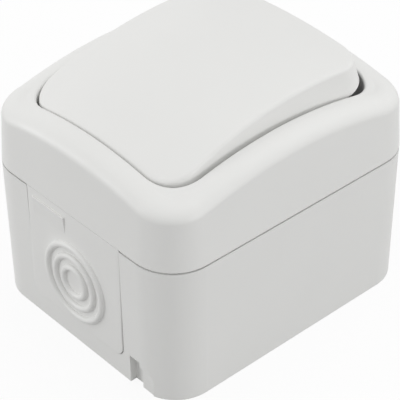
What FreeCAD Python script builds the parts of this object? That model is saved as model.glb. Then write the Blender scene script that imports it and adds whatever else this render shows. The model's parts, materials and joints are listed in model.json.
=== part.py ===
"""A surface mounted light switch with a wide rocker, one cable entry at each end.

Frame: the wall is the plane Z = 0 and +Z points out of it. The switch lies centred on the
Z axis, its long sides run along Y, and one cable entry faces -Y, the other +Y.
The rocker rests with its -Y end pressed in. Sizes are in millimetres.
"""
import FreeCAD, Part
import math
import os
import types

import Sketcher
from FreeCAD import Placement, Rotation, Vector

# Driving dimensions: name, value, meaning.
SIZES = [
    ("width", 66.0, "whole switch across, along X"),
    ("length", 77.5, "whole switch along Y"),
    ("corner_radius", 10.7, "upright corners, seen from the front"),
    ("base_depth", 36.8, "wall face to the joint between box and cover"),
    ("base_inset", 0.26, "back edge of the box inside its front edge, by its draft"),
    ("wall", 2.4, "walls of box and cover"),
    ("floor", 2.4, "back wall of the box"),
    ("crest_at_side", 20.2, "crest of the cover's long sides above the joint, at their middle"),
    ("crest_at_end", 18.9, "crest of the cover's short sides above the joint, at their middle"),
    ("fall_long", 7.1, "fall of a long side's crest to its end"),
    ("fall_short", 5.2, "fall of a short side's crest to its end"),
    ("crest_blend", 0.8, "softness of the meeting of two crests"),
    ("edge_round", 2.4, "outer top edge of the cover"),
    ("frame_side", 7.0, "cover's frame, from its side to the rocker's opening"),
    ("frame_end", 7.15, "cover's frame, from its end to the rocker's opening"),
    ("opening_radius", 8.6, "corners of that opening"),
    ("lip_round", 0.6, "edge of that opening"),
    ("deck_rise", 5.2, "cover's inner deck above the joint, under the rocker"),
    ("deck_thickness", 2.2, "that deck"),
    ("tub_wall", 2.0, "wall between the opening and the hollow frame"),
    ("lip_wall", 1.2, "cover's outer lip over the box's tongue"),
    ("tongue_height", 2.0, "box's tongue above the joint"),
    ("gasket_thickness", 1.0, "cover gasket, pressed"),
    ("seam_gap", 0.1, "tongue to lip"),
    ("shadow_height", 0.35, "shadow gap round the joint, cut from the cover's outer edge"),
    ("shadow_depth", 0.5, "shadow gap round the joint, cut from the cover's outer edge"),
    ("pivot_rise", 4.0, "rocker's pivot above the deck"),
    ("throw_angle", 7.2, "rocker's tilt each way, in degrees"),
    ("rocker_apex", 17.9, "top of the rocker above its pivot"),
    ("rocker_bottom", 5.4, "lower edge of its skirt above its pivot"),
    ("rocker_gap_side", 0.8, "skirt's lower edge to the side of the opening"),
    ("rocker_gap_end", 1.0, "skirt's lower edge to the end of the opening"),
    ("rocker_radius", 7.8, "corners of the skirt"),
    ("rocker_lean_x", 0.10, "lean of the skirt's sides, across per up"),
    ("rocker_lean_y", 0.18, "lean of the skirt's ends, across per up"),
    ("rocker_bow_x", 104.0, "radius of the rocker's top across X"),
    ("rocker_bow_y", 96.0, "radius of the rocker's top along Y"),
    ("rocker_skin", 1.8, "rocker's wall"),
    ("rocker_edge", 0.8, "rounding of the rocker's top edge"),
    ("pin_radius", 2.0, "rocker's pivot pins"),
    ("running_gap", 0.06, "a turning or sliding fit, on the radius"),
    ("post_inset", 5.9, "outer face of the pivot posts from the opening's side"),
    ("post_thickness", 3.0, "pivot posts"),
    ("post_half_y", 4.0, "half width of the pivot posts"),
    ("ear_gap", 0.2, "between an ear and its post"),
    ("ear_thickness", 2.2, "rocker's ears"),
    ("ear_radius", 3.0, "round end of an ear"),
    ("ear_root", 3.4, "upper end of an ear below the rocker's top, inside the roof"),
    ("pin_short", 0.3, "pins end short of the posts' inner faces"),
    ("stem_radius", 2.5, "rocker's drive stem"),
    ("stem_root", 1.2, "upper end of the stem below the rocker's top, inside the roof"),
    ("stem_end_drop", 7.0, "lower end of the stem's round part below the pivot"),
    ("tip_below", 10.0, "centre of the stem's round tip below the pivot"),
    ("tip_radius", 1.5, "round tip of the drive stem"),
    ("blade_half_x", 4.0, "half width of the stem's blade"),
    ("blade_half_y", 2.0, "half thickness of that blade at its upper end"),
    ("neck_half", 1.0, "half thickness of the blade over its round tip"),
    ("pivot_span", 16.0, "cradle's pivot below the rocker's"),
    ("cradle_half_x", 6.0, "half width of the cradle"),
    ("cradle_half_y", 4.5, "half thickness of the cradle"),
    ("cradle_up", 7.0, "cradle above its pivot"),
    ("cradle_down", 6.0, "cradle below its pivot"),
    ("trunnion_end", 10.0, "outer ends of the cradle's trunnions"),
    ("bore_top", 3.2, "upper end of the plunger's bore above the cradle's pivot"),
    ("slot_floor", 4.2, "floor of the cradle's slot above its pivot"),
    ("slot_gap", 0.1, "stem tip to each side of the slot"),
    ("plunger_radius", 1.9, "plunger and its round tip"),
    ("plunger_drop", 9.0, "centre of the plunger's tip below the cradle's pivot"),
    ("plunger_cup", 5.0, "depth of the plunger's spring pocket"),
    ("plunger_top", 2.0, "rim of the plunger below the cradle's pivot"),
    ("plunger_wall", 0.5, "wall of that pocket"),
    ("spring_radius", 1.1, "mean radius of the plunger's spring"),
    ("spring_wire", 0.45, "wire of the plunger's spring"),
    ("spring_turns", 5.0, "turns of that spring"),
    ("bridge_span", 13.0, "contact bridge's pivot below the cradle's"),
    ("contact_angle", 5.4, "bridge's tilt each way, in degrees"),
    ("bridge_reach", 9.5, "end of the bridge's arm from its pivot"),
    ("bridge_rise", 1.9, "top of the bridge's middle above its pivot"),
    ("bridge_angle", 10.0, "rise of its arms, in degrees"),
    ("bridge_thickness", 1.05, "contact bridge"),
    ("bridge_half_x", 3.0, "half width of the bridge"),
    ("knife_radius", 0.8, "round edge that the bridge rocks on"),
    ("contact_reach", 8.0, "contacts from the middle"),
    ("contact_radius", 1.6, "contact rivets"),
    ("contact_thickness", 0.8, "moving contact rivets"),
    ("fixed_shift", 0.24, "fixed contacts outside the moving ones, which swing out as they close"),
    ("fixed_rise", 0.73, "fixed contact rivets above their strips"),
    ("strip_thickness", 1.0, "brass strips"),
    ("strip_half", 2.5, "half width of the brass strips"),
    ("insert_width", 40.0, "mechanism across"),
    ("insert_length", 42.0, "mechanism along Y"),
    ("base_drop", 8.0, "underside of the mechanism below the bridge's pivot"),
    ("lid_drop", 4.0, "joint of the mechanism's two halves below the cradle's pivot"),
    ("insert_lid", 2.5, "lid plate of the mechanism"),
    ("insert_round", 2.0, "upright corners of the mechanism"),
    ("chamber_drop", 5.2, "floor of the contact chamber below the bridge's pivot"),
    ("chamber_half_x", 7.0, "contact chamber across"),
    ("chamber_gap", 2.0, "ends of the chamber beyond the bridge"),
    ("ledge_drop", 1.2, "ledges that carry the fixed contacts, below the bridge's pivot"),
    ("ledge_reach", 2.0, "ledges' inner edges inside the contacts"),
    ("window_half_x", 6.8, "lid's window round the cradle"),
    ("window_half_y", 8.5, "lid's window round the cradle"),
    ("cheek_half_y", 4.2, "cheeks that carry the cradle"),
    ("cheek_rise", 3.2, "upper edge of those cheeks above the cradle's pivot"),
    ("access_radius", 2.9, "lid's holes over the terminal screws"),
    ("cheek_thickness", 3.2, "cheeks that carry the cradle"),
    ("cheek_gap", 1.0, "cradle to each cheek"),
    ("clamp_size", 7.0, "terminal clamps across"),
    ("clamp_height", 8.0, "terminal clamps"),
    ("clamp_wall", 0.9, "wall of a clamp"),
    ("well_gap", 0.3, "clamp to the sides of its well"),
    ("end_well_drop", 1.3, "floor of the end terminals' wells below the ledges"),
    ("common_well_drop", 1.0, "floor of the common terminal's well below the chamber's"),
    ("wire_radius", 1.8, "wire holes"),
    ("clamp_screw_radius", 1.2, "terminal screws"),
    ("clamp_screw_head", 1.9, "heads of the terminal screws"),
    ("clamp_screw_head_height", 1.4, "heads of the terminal screws"),
    ("clamp_screw_length", 2.4, "terminal screws below their heads"),
    ("terminal_inset", 4.5, "end terminals from the mechanism's ends"),
    ("common_inset", 6.5, "common terminal from the mechanism's side"),
    ("screw_radius", 1.45, "shank of the long screws"),
    ("screw_gap", 0.05, "shank to pilot hole"),
    ("screw_head", 2.9, "heads of the long screws"),
    ("screw_head_height", 2.0, "heads of the long screws"),
    ("post_radius", 3.4, "screw posts of the box"),
    ("cover_screw_length", 20.0, "cover screws below their heads"),
    ("insert_screw_length", 24.5, "mechanism screws below their heads"),
    ("cover_screw_side", 16.0, "cover screws from the box's side"),
    ("post_gap", 0.6, "screw posts and earth terminal beyond the mechanism's end"),
    ("insert_screw_side", 4.5, "mechanism screws from the mechanism's side"),
    ("insert_screw_end", 9.0, "mechanism screws from the mechanism's end"),
    ("fixing_end", 8.75, "wall screws from the box's ends, which puts them 60 mm apart"),
    ("fixing_radius", 2.3, "wall screw holes"),
    ("fixing_collar", 1.6, "raised collar round a wall screw hole"),
    ("entry_half", 16.3, "half width of a cable entry plate"),
    ("entry_bottom", 5.7, "lower edge of a cable entry plate"),
    ("entry_round", 3.0, "lower corners of a cable entry plate"),
    ("entry_skin", 1.2, "each flange of a cable entry plate"),
    ("entry_proud", 0.2, "plate's face outside the box's wall"),
    ("entry_overlap", 1.7, "flange over the edge of the box's wall"),
    ("entry_gap", 0.15, "plate to the edges of its slot"),
    ("ring_drop", 18.5, "centre of the entry's rings below the joint"),
    ("ring_middle", 2.6, "flat middle of the rings"),
    ("ring_pitch", 2.98, "one ring to the next"),
    ("ring_rise", 0.95, "ring's crest off the plate's face"),
    ("grip_left", 14.2, "thumb grip's far side"),
    ("grip_right", 2.1, "thumb grip's near side"),
    ("grip_drop", 1.4, "thumb grip's upper edge below the joint"),
    ("grip_height", 4.9, "thumb grip"),
    ("grip_proud", 0.7, "thumb grip's upper edge off the plate"),
    ("notch_side", 14.5, "near side of the prising notch from the box's side"),
    ("notch_width", 3.4, "prising notch"),
    ("notch_height", 8.0, "prising notch"),
    ("notch_depth", 2.0, "prising notch"),
    ("relief_width", 3.9, "shallow relief beside the notch"),
    ("relief_height", 6.6, "shallow relief beside the notch"),
    ("relief_depth", 1.1, "shallow relief beside the notch"),
    ("relief_round", 2.4, "round corner of the relief"),
    ("earth_side", 13.0, "earth terminal from the box's side"),
    ("earth_bottom", 6.0, "seat of the earth terminal"),
    ("earth_screw_length", 3.2, "earth screw below its head"),
    ("deck_hole", 6.6, "hole in the deck for the stem"),
    ("seal_radius", 9.0, "flange of the stem seal"),
    ("seal_bead", 0.8, "bead that holds the seal over the deck"),
    ("seal_neck", 2.78, "lip of the stem seal"),
    ("seal_drop", 0.8, "upper edge of that lip below the rocker's pivot"),
    ("seal_lip", 0.75, "lip of the stem seal, its height"),
    ("seal_skin", 0.9, "stem seal"),
]
RINGS = 3
CREST_COUNT = 15  # points of the crest's surface each way
COIL_POINTS = 12  # points of a spring's course in each turn
QUARTER = 90  # degrees
CORNERS = ((1, 1), (-1, 1), (-1, -1), (1, -1))
PAST = 1.0  # how far a cut runs past the solid
OVERLAP = 0.5  # how far a piece reaches into the one it grows from
ABOVE = 30.0  # how far a shaping block stands above the cover
LEFT, RIGHT = 1, -1  # side of its course to which an arc bulges
BOTH_ENDS = 3  # the numbers of a side's two end points, added up

doc = FreeCAD.newDocument("surface_switch")
sheet = doc.addObject("Spreadsheet::Sheet", "Sizes")


class Measure:
    """A size or a sum of sizes: its number, and the expression that gives it in the sheet."""

    def __init__(self, number, text):
        self.number = number
        self.text = text

    def joined(self, sign, other, number):
        return Measure(number, f"({self.text} {sign} {other.text})")

    def __add__(self, other):
        other = measure(other)
        return self.joined("+", other, self.number + other.number)

    def __sub__(self, other):
        other = measure(other)
        return self.joined("-", other, self.number - other.number)

    def __mul__(self, other):
        other = measure(other)
        return self.joined("*", other, self.number * other.number)

    def __truediv__(self, other):
        other = measure(other)
        return self.joined("/", other, self.number / other.number)

    def __radd__(self, other):
        return measure(other) + self

    def __rsub__(self, other):
        return measure(other) - self

    def __rmul__(self, other):
        return measure(other) * self

    def __neg__(self):
        return measure(0) - self


def measure(size):
    return size if isinstance(size, Measure) else Measure(float(size), str(float(size)))


def mm(size):
    return measure(size).number


def root(size):
    return Measure(math.sqrt(size.number), f"sqrt({size.text})")


def slope(size, angle):
    """The rise of a run of that size at an angle in degrees."""
    return Measure(size.number * math.tan(math.radians(angle.number)), f"({size.text} * tan({angle.text}))")


def read_sizes():
    """Write each driving dimension into the sheet and read it back under its name."""
    for row, (name, value, meaning) in enumerate(SIZES, start=1):
        sheet.set(f"A{row}", meaning)
        sheet.set(f"B{row}", str(value))
        sheet.setAlias(f"B{row}", name)
    doc.recompute()
    names = [name for name, value, meaning in SIZES]
    return types.SimpleNamespace(**{name: Measure(sheet.get(name), f"Sizes.{name}") for name in names})


S = read_sizes()

# Places that several pieces share, worked out from the sizes
half_width, half_length = S.width / 2, S.length / 2
joint = S.base_depth
opening_x, opening_y = half_width - S.frame_side, half_length - S.frame_end
skirt_x, skirt_y = opening_x - S.rocker_gap_side, opening_y - S.rocker_gap_end
deck_top = joint + S.deck_rise
under_deck = deck_top - S.deck_thickness
pivot = deck_top + S.pivot_rise
cradle_pivot = pivot - S.pivot_span
bridge_pivot = cradle_pivot - S.bridge_span
post_outer = opening_x - S.post_inset
insert_x, insert_y = S.insert_width / 2, S.insert_length / 2
insert_top, insert_bottom = cradle_pivot - S.lid_drop, bridge_pivot - S.base_drop
lid_top = insert_top + S.insert_lid
chamber_floor, ledge_top = bridge_pivot - S.chamber_drop, bridge_pivot - S.ledge_drop
chamber_y = S.bridge_reach + S.chamber_gap
ledge_start = S.contact_reach - S.ledge_reach
end_well_floor, common_well_floor = ledge_top - S.end_well_drop, chamber_floor - S.common_well_drop
terminal_y, common_x = insert_y - S.terminal_inset, insert_x - S.common_inset
cover_screw_x = half_width - S.cover_screw_side
cover_screw_y = insert_y + S.post_gap + S.post_radius
insert_screw_x, insert_screw_y = insert_x - S.insert_screw_side, insert_y - S.insert_screw_end
fixing_y = half_length - S.fixing_end
ring_z = joint - S.ring_drop
pilot = S.screw_radius + S.screw_gap


def bind(obj, name, size):
    obj.setExpression(name, measure(size).text)


# Helpers for PartDesign bodies
def new_body(label):
    body = doc.addObject("PartDesign::Body", label)
    body.Label = label
    return body


def new_sketch(body, role, height=0, shift=0):
    """A sketch on an origin plane, moved off it by height and up in it by shift."""
    sketch = body.newObject("Sketcher::SketchObject", body.Name + "_sketch")
    plane = next(part for part in body.Origin.OriginFeatures if part.Role == role)
    sketch.AttachmentSupport = [(plane, "")]
    sketch.MapMode = "FlatFace"
    bind(sketch, "AttachmentOffset.Base.z", height)
    bind(sketch, "AttachmentOffset.Base.y", shift)
    return sketch


def fix(sketch, kind, geometry, point, size):
    """Hold one coordinate of a point at a size."""
    number = sketch.addConstraint(Sketcher.Constraint(kind, -1, 1, geometry, point, mm(size)))
    bind(sketch, f"Constraints[{number}]", size)


def fix_radius(sketch, geometry, size):
    number = sketch.addConstraint(Sketcher.Constraint("Radius", geometry, mm(size)))
    bind(sketch, f"Constraints[{number}]", size)


def side_curve(start, end, arc):
    """The line or the arc from start to end, and whether the arc is stored backwards."""
    if arc is None:
        return Part.LineSegment(start, end), False
    radius, hand = arc
    half = (end - start) * 0.5
    left = Vector(-half.y, half.x, 0) * (1 / half.Length)
    centre = start + half - left * (hand * math.sqrt(mm(radius) ** 2 - half.Length ** 2))
    first, last = (end, start) if hand == LEFT else (start, end)
    low, high = [math.atan2(spot.y - centre.y, spot.x - centre.x) for spot in (first, last)]
    if high < low:
        high += 2 * math.pi
    ring = Part.Circle(centre, Vector(0, 0, 1), mm(radius))
    return Part.ArcOfCircle(ring, low, high), hand == LEFT


def chain(sketch, corners, arcs=None):
    """A closed outline through corners; arcs names the sides that are arcs, with their radius
    and the side of their course to which they bulge."""
    spots = [Vector(mm(x), mm(y), 0) for x, y in corners]
    count = len(spots)
    sides = [side_curve(spots[k], spots[(k + 1) % count], (arcs or {}).get(k)) for k in range(count)]
    first = sketch.addGeometry([curve for curve, back in sides], False)[0]
    starts = [2 if back else 1 for curve, back in sides]
    for k in range(count):
        follower, end = (k + 1) % count, BOTH_ENDS - starts[k]
        joined = Sketcher.Constraint("Coincident", first + k, end, first + follower, starts[follower])
        sketch.addConstraint(joined)
    for k, (x, y) in enumerate(corners):
        fix(sketch, "DistanceX", first + k, starts[k], x)
        fix(sketch, "DistanceY", first + k, starts[k], y)
    for k, (radius, hand) in (arcs or {}).items():
        fix_radius(sketch, first + k, radius)
    return sketch


def rectangle(sketch, x0, x1, y0, y1):
    return chain(sketch, [(x0, y0), (x1, y0), (x1, y1), (x0, y1)])


def circle(sketch, x, y, radius):
    shape = Part.Circle(Vector(mm(x), mm(y), 0), Vector(0, 0, 1), mm(radius))
    number = sketch.addGeometry(shape, False)
    fix(sketch, "DistanceX", number, 3, x)
    fix(sketch, "DistanceY", number, 3, y)
    fix_radius(sketch, number, radius)
    return sketch


def rounded(sketch, x0, x1, y0, y1, radius):
    """A rectangle with four round corners: four tangent arcs and four lines."""
    centres = [(x1 - radius, y0 + radius), (x1 - radius, y1 - radius),
               (x0 + radius, y1 - radius), (x0 + radius, y0 + radius)]
    arcs, lines = [], []
    for k, (x, y) in enumerate(centres):
        ring = Part.Circle(Vector(mm(x), mm(y), 0), Vector(0, 0, 1), mm(radius))
        arcs.append(Part.ArcOfCircle(ring, (k - 1) * math.pi / 2, k * math.pi / 2))
    for k in range(4):
        lines.append(Part.LineSegment(arcs[k].EndPoint, arcs[(k + 1) % 4].StartPoint))
    first = sketch.addGeometry(arcs + lines, False)[0]
    for k in range(4):
        sketch.addConstraint(Sketcher.Constraint("Tangent", first + k, 2, first + 4 + k, 1))
        sketch.addConstraint(Sketcher.Constraint("Tangent", first + 4 + k, 2, first + (k + 1) % 4, 1))
    for k, (x, y) in enumerate(centres):
        fix(sketch, "DistanceX", first + k, 3, x)
        fix(sketch, "DistanceY", first + k, 3, y)
        fix_radius(sketch, first + k, radius)
    return sketch


def plan(sketch, inset):
    """The switch's own outline seen from the front, set in by inset."""
    half_x, half_y = half_width - inset, half_length - inset
    return rounded(sketch, -half_x, half_x, -half_y, half_y, S.corner_radius - inset)


def added(body, kind, sketch):
    made = body.newObject(f"PartDesign::{kind}", f"{body.Name}_{kind.lower()}")
    made.Profile = sketch
    return made


def settle(body, made, before):
    """Recompute, and stop where a feature has changed nothing."""
    doc.recompute()
    if abs(made.Shape.Volume - before) < 1e-6:
        raise RuntimeError(f"{made.Name} changed nothing")
    return made


def volume(body):
    return body.Tip.Shape.Volume if body.Tip is not None else 0.0


def feature(body, kind, sketch, length, back=False, both=False):
    """A pad or pocket of a sketch."""
    before = volume(body)
    made = added(body, kind, sketch)
    bind(made, "Length", length)
    made.SideType = "Symmetric" if both else "One side"
    made.Reversed = back
    return settle(body, made, before)


def turned(body, kind, sketch, axis="H_Axis"):
    """A solid or cut of revolution about one of the sketch's own axes."""
    before = volume(body)
    made = added(body, kind, sketch)
    made.ReferenceAxis = (sketch, [axis])
    made.Angle = 360.0
    return settle(body, made, before)


def dress(body, kind, size_name, size, names):
    """A fillet or hollowing of the tip's named edges or faces."""
    before = volume(body)
    tip = body.Tip
    made = body.newObject(f"PartDesign::{kind}", f"{body.Name}_{kind.lower()}")
    made.Base = (tip, names)
    bind(made, size_name, size)
    return settle(body, made, before)


def names_of(shapes, word, wanted):
    return [f"{word}{k}" for k, shape in enumerate(shapes, start=1) if wanted(shape)]


def stand(obj, height, angle=0):
    """Stand an object on its own pivot, turned about X through it."""
    obj.Placement = Placement(Vector(0, 0, mm(height)), Rotation(Vector(1, 0, 0), mm(angle)))
    bind(obj, "Placement.Base.z", height)
    bind(obj, "Placement.Rotation.Angle", angle)
    return obj


# Helpers for Part primitives and booleans
def block(x0, x1, y0, y1, z0, z1):
    made = doc.addObject("Part::Box", "block")
    for side, low, high in (("Length", x0, x1), ("Width", y0, y1), ("Height", z0, z1)):
        bind(made, side, high - low)
    for axis, low in (("x", x0), ("y", y0), ("z", z0)):
        bind(made, f"Placement.Base.{axis}", low)
    return made


def rod(turn, spot, length, radius):
    """A cylinder from spot along Z turned by turn, which is an axis and an angle."""
    made = doc.addObject("Part::Cylinder", "rod")
    made.Placement = Placement(Vector(0, 0, 0), Rotation(*turn))
    bind(made, "Radius", radius)
    bind(made, "Height", length)
    for axis, low in zip("xyz", spot):
        bind(made, f"Placement.Base.{axis}", low)
    return made


UPRIGHT = (Vector(0, 0, 1), 0)
ALONG_X = (Vector(0, 1, 0), QUARTER)
ALONG_Y = (Vector(1, 0, 0), -QUARTER)


def fuse(pieces, label="fused"):
    made = doc.addObject("Part::MultiFuse", label)
    made.Label = label
    made.Shapes = pieces
    made.Refine = True
    return made


def cut(base, tool, label="shaped"):
    made = doc.addObject("Part::Cut", label)
    made.Label = label
    made.Base = base
    made.Tool = tool
    made.Refine = True
    return made


def group(pieces, label):
    """Separate like solids that share one file."""
    made = doc.addObject("Part::Compound", label)
    made.Label = label
    made.Links = pieces
    return made


def screw(x, y, seat, head, head_height, shank, tip, label="screw"):
    """A flat headed screw that points at the wall, with a driving slot."""
    blank = fuse([rod(UPRIGHT, (x, y, seat), head_height, head), rod(UPRIGHT, (x, y, tip), seat - tip, shank)])
    half = head / 6
    top = seat + head_height
    slot = block(x - head, x + head, y - half, y + half, top - head_height / 2, top + PAST)
    return cut(blank, slot, label)


# The cover's crowned frame
def crest_height(x, y, lift):
    """Height of the cover's top face: each side is a shallow arch along its own length,
    and the two arches meet at the corners in a smooth maximum."""
    blend = mm(S.crest_blend)
    long_side = mm(joint + S.crest_at_side) - mm(S.fall_long) * (y / mm(half_length)) ** 2
    short_side = mm(joint + S.crest_at_end) - mm(S.fall_short) * (x / mm(half_width)) ** 2
    higher = max(long_side, short_side)
    lower = min(long_side, short_side)
    return higher + blend * math.log(1 + math.exp((lower - higher) / blend)) + lift


def under_crest(lift):
    """The solid under the crowned top face, moved by lift."""
    margin = 4.0
    reach_x, reach_y = mm(half_width) + margin, mm(half_length) + margin
    steps = [2 * k / (CREST_COUNT - 1) - 1 for k in range(CREST_COUNT)]
    xs, ys = [reach_x * step for step in steps], [reach_y * step for step in steps]
    surface = Part.BSplineSurface()
    surface.interpolate([[Vector(x, y, crest_height(x, y, lift)) for y in ys] for x in xs])
    return surface.toShape().extrude(Vector(0, 0, -mm(joint + S.crest_at_side)))


def rounded_block(half_x, half_y, radius, low, high):
    """A block about the Z axis with rounded upright corners."""
    shape = Part.makeBox(2 * half_x, 2 * half_y, high - low, Vector(-half_x, -half_y, low))
    upright = [edge for edge in shape.Edges if abs(edge.tangentAt(edge.FirstParameter).z) > 0.9]
    return shape.makeFillet(radius, upright)


def rim_edges(shape, half_x, half_y):
    """The top edges of an upright wall at half_x, half_y."""
    low = mm(joint + S.crest_at_side - S.fall_long - S.fall_short)
    found = []
    for edge in shape.Edges:
        spots = [vertex.Point for vertex in edge.Vertexes]
        on_wall = all(abs(p.x) > half_x - 0.01 or abs(p.y) > half_y - 0.01 for p in spots)
        inside = all(abs(p.x) < half_x + 0.01 and abs(p.y) < half_y + 0.01 for p in spots)
        if on_wall and inside and edge.BoundBox.ZMin > low:
            found.append(edge)
    return found


def cover_shell():
    """The crowned frame with its opening, hollow from below."""
    half_x, half_y = mm(half_width), mm(half_length)
    radius, wall, low = mm(S.corner_radius), mm(S.wall), mm(joint)
    top = mm(joint + S.crest_at_side) + ABOVE
    open_x, open_y, open_radius = mm(opening_x), mm(opening_y), mm(S.opening_radius)
    tub, lip = mm(S.tub_wall), mm(S.lip_wall)

    shell = rounded_block(half_x, half_y, radius, low, top).common(under_crest(0.0))
    shell = shell.makeFillet(mm(S.edge_round), rim_edges(shell, half_x, half_y))
    shell = shell.cut(rounded_block(open_x, open_y, open_radius, mm(deck_top), top))
    shell = shell.makeFillet(mm(S.lip_round), rim_edges(shell, open_x, open_y))

    hollow = rounded_block(half_x - wall, half_y - wall, radius - wall, low - PAST, top)
    hollow = hollow.common(under_crest(-wall))
    tub_block = rounded_block(open_x + tub, open_y + tub, open_radius + tub, mm(under_deck), top)
    step = low + mm(S.tongue_height + S.gasket_thickness)
    rebate = rounded_block(half_x - lip, half_y - lip, radius - lip, low - PAST, step)
    shell = shell.cut(hollow.cut(tub_block)).cut(rebate)
    return shell.cut(shadow_gap(half_x, half_y, radius, low))


def shadow_gap(half_x, half_y, radius, low):
    """The ring that is cut from the outer lower edge, so that a thin shadow marks the joint."""
    depth, high = mm(S.shadow_depth), low + mm(S.shadow_height)
    outside = rounded_block(half_x + PAST, half_y + PAST, radius + PAST, low - PAST, high)
    return outside.cut(rounded_block(half_x - depth, half_y - depth, radius - depth, low - PAST, high + PAST))


def pivot_post(side):
    """A post on the deck with a round head, bored for one of the rocker's pins."""
    axis_z, deck, half = mm(pivot), mm(deck_top), mm(S.post_half_y)
    thick = mm(S.post_thickness)
    low_x = -mm(post_outer) if side < 0 else mm(post_outer) - thick
    foot = Part.makeBox(thick, 2 * half, axis_z - deck + OVERLAP, Vector(low_x, -half, deck - OVERLAP))
    crown = Part.makeCylinder(half, thick, Vector(low_x, 0, axis_z), Vector(1, 0, 0))
    bore = Part.makeCylinder(mm(S.pin_radius + S.running_gap), thick, Vector(low_x, 0, axis_z), Vector(1, 0, 0))
    return foot.fuse(crown).cut(bore)


def make_front_cover():
    shell = cover_shell()
    for side in (-1, 1):
        spot = Vector(side * mm(cover_screw_x), side * mm(cover_screw_y), mm(joint))
        boss = Part.makeCylinder(mm(S.post_radius), mm(under_deck - joint) + OVERLAP, spot)
        hole = Part.makeCylinder(mm(pilot), ABOVE, spot - Vector(0, 0, PAST))
        shell = shell.fuse([pivot_post(side), boss]).cut(hole)
    stem_hole = Part.makeCylinder(mm(S.deck_hole), mm(S.deck_thickness) + 2 * PAST,
                                  Vector(0, 0, mm(under_deck) - PAST))
    made = doc.addObject("Part::Feature", "front_cover")
    made.Shape = shell.cut(stem_hole).removeSplitter()
    made.Label = "front_cover"
    return made


def make_cover_gasket():
    """The ring of rubber between the box's tongue and the cover."""
    body = new_body("cover_gasket")
    sketch = new_sketch(body, "XY_Plane", joint + S.tongue_height)
    plan(sketch, S.lip_wall + S.seam_gap)
    plan(sketch, S.wall)
    feature(body, "Pad", sketch, S.gasket_thickness)
    return body


# The back box
def earth_spot():
    return half_width - S.earth_side, -insert_y - S.post_gap - S.clamp_size / 2


def entry_slot(sketch, half, bottom, radius):
    """The outline of a cable entry, open above the box."""
    top = joint + S.tongue_height + PAST
    return rounded(sketch, -half, half, bottom, top + radius, radius)


def make_back_box():
    body = new_body("back_box")
    outer = feature(body, "Pad", plan(new_sketch(body, "XY_Plane"), S.base_inset), joint)
    outer.setExpression("TaperAngle", f"atan({S.base_inset.text} / {joint.text})")
    doc.recompute()
    feature(body, "Pocket", plan(new_sketch(body, "XY_Plane", joint), S.wall), joint - S.floor)
    sketch = new_sketch(body, "XY_Plane", joint)
    plan(sketch, S.lip_wall + S.seam_gap)
    plan(sketch, S.wall)
    feature(body, "Pad", sketch, S.tongue_height)

    sketch = new_sketch(body, "XZ_Plane")
    web = S.entry_half - S.entry_overlap + S.entry_gap
    web_bottom = S.entry_bottom + S.entry_overlap - S.entry_gap
    entry_slot(sketch, web, web_bottom, S.entry_round - S.entry_overlap / 2)
    feature(body, "Pocket", sketch, S.length + 2 * PAST, both=True)
    for side in (1, -1):
        sketch = new_sketch(body, "XZ_Plane", side * half_length)
        gap = S.entry_gap
        entry_slot(sketch, S.entry_half + gap, S.entry_bottom - gap, S.entry_round + gap)
        feature(body, "Pocket", sketch, S.entry_skin - S.entry_proud, back=side < 0)
    add_box_posts(body)
    add_box_holes(body)
    add_notch(body)
    return body


def add_box_posts(body):
    root_height = S.floor - OVERLAP
    sketch = new_sketch(body, "XY_Plane", root_height)
    for side in (1, -1):
        circle(sketch, side * cover_screw_x, side * cover_screw_y, S.post_radius)
    feature(body, "Pad", sketch, joint - root_height)

    sketch = new_sketch(body, "XY_Plane", root_height)
    for side_x, side_y in CORNERS:
        circle(sketch, side_x * insert_screw_x, side_y * insert_screw_y, S.post_radius)
    feature(body, "Pad", sketch, insert_bottom - root_height)

    sketch = new_sketch(body, "XY_Plane", root_height)
    for side in (1, -1):
        circle(sketch, 0, side * fixing_y, S.fixing_radius + S.fixing_collar)
    feature(body, "Pad", sketch, S.fixing_collar + OVERLAP)

    sketch = new_sketch(body, "XY_Plane", root_height)
    half, (x, y) = S.clamp_size / 2, earth_spot()
    rectangle(sketch, x - half, x + half, y - half, y + half)
    feature(body, "Pad", sketch, S.earth_bottom - root_height)


def add_box_holes(body):
    sketch = new_sketch(body, "XY_Plane", joint)
    for side in (1, -1):
        circle(sketch, side * cover_screw_x, side * cover_screw_y, pilot)
    feature(body, "Pocket", sketch, joint - insert_bottom)

    sketch = new_sketch(body, "XY_Plane", insert_bottom)
    for side in (1, -1):
        circle(sketch, side * insert_screw_x, side * insert_screw_y, pilot)
    feature(body, "Pocket", sketch, insert_bottom - S.floor)

    sketch = new_sketch(body, "XY_Plane")
    for side in (1, -1):
        circle(sketch, 0, side * fixing_y, S.fixing_radius)
    feature(body, "Pocket", sketch, S.floor + S.fixing_collar + PAST, back=True)


def add_notch(body):
    """The prising notch and the shallow relief beside it, with a pad behind them."""
    start = half_width - S.notch_side
    end = start + S.notch_width + S.relief_width
    sketch = new_sketch(body, "XZ_Plane", half_length - S.wall - S.notch_depth)
    rectangle(sketch, start - S.floor / 2, end + S.floor / 2, S.floor - OVERLAP, S.notch_height + S.floor)
    feature(body, "Pad", sketch, S.notch_depth + OVERLAP)

    sketch = new_sketch(body, "XZ_Plane", half_length)
    rectangle(sketch, start, start + S.notch_width, -PAST, S.notch_height)
    feature(body, "Pocket", sketch, S.notch_depth)

    sketch = new_sketch(body, "XZ_Plane", half_length)
    rounded(sketch, start, end, -S.relief_height, S.relief_height, S.relief_round)
    feature(body, "Pocket", sketch, S.relief_depth)


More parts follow.
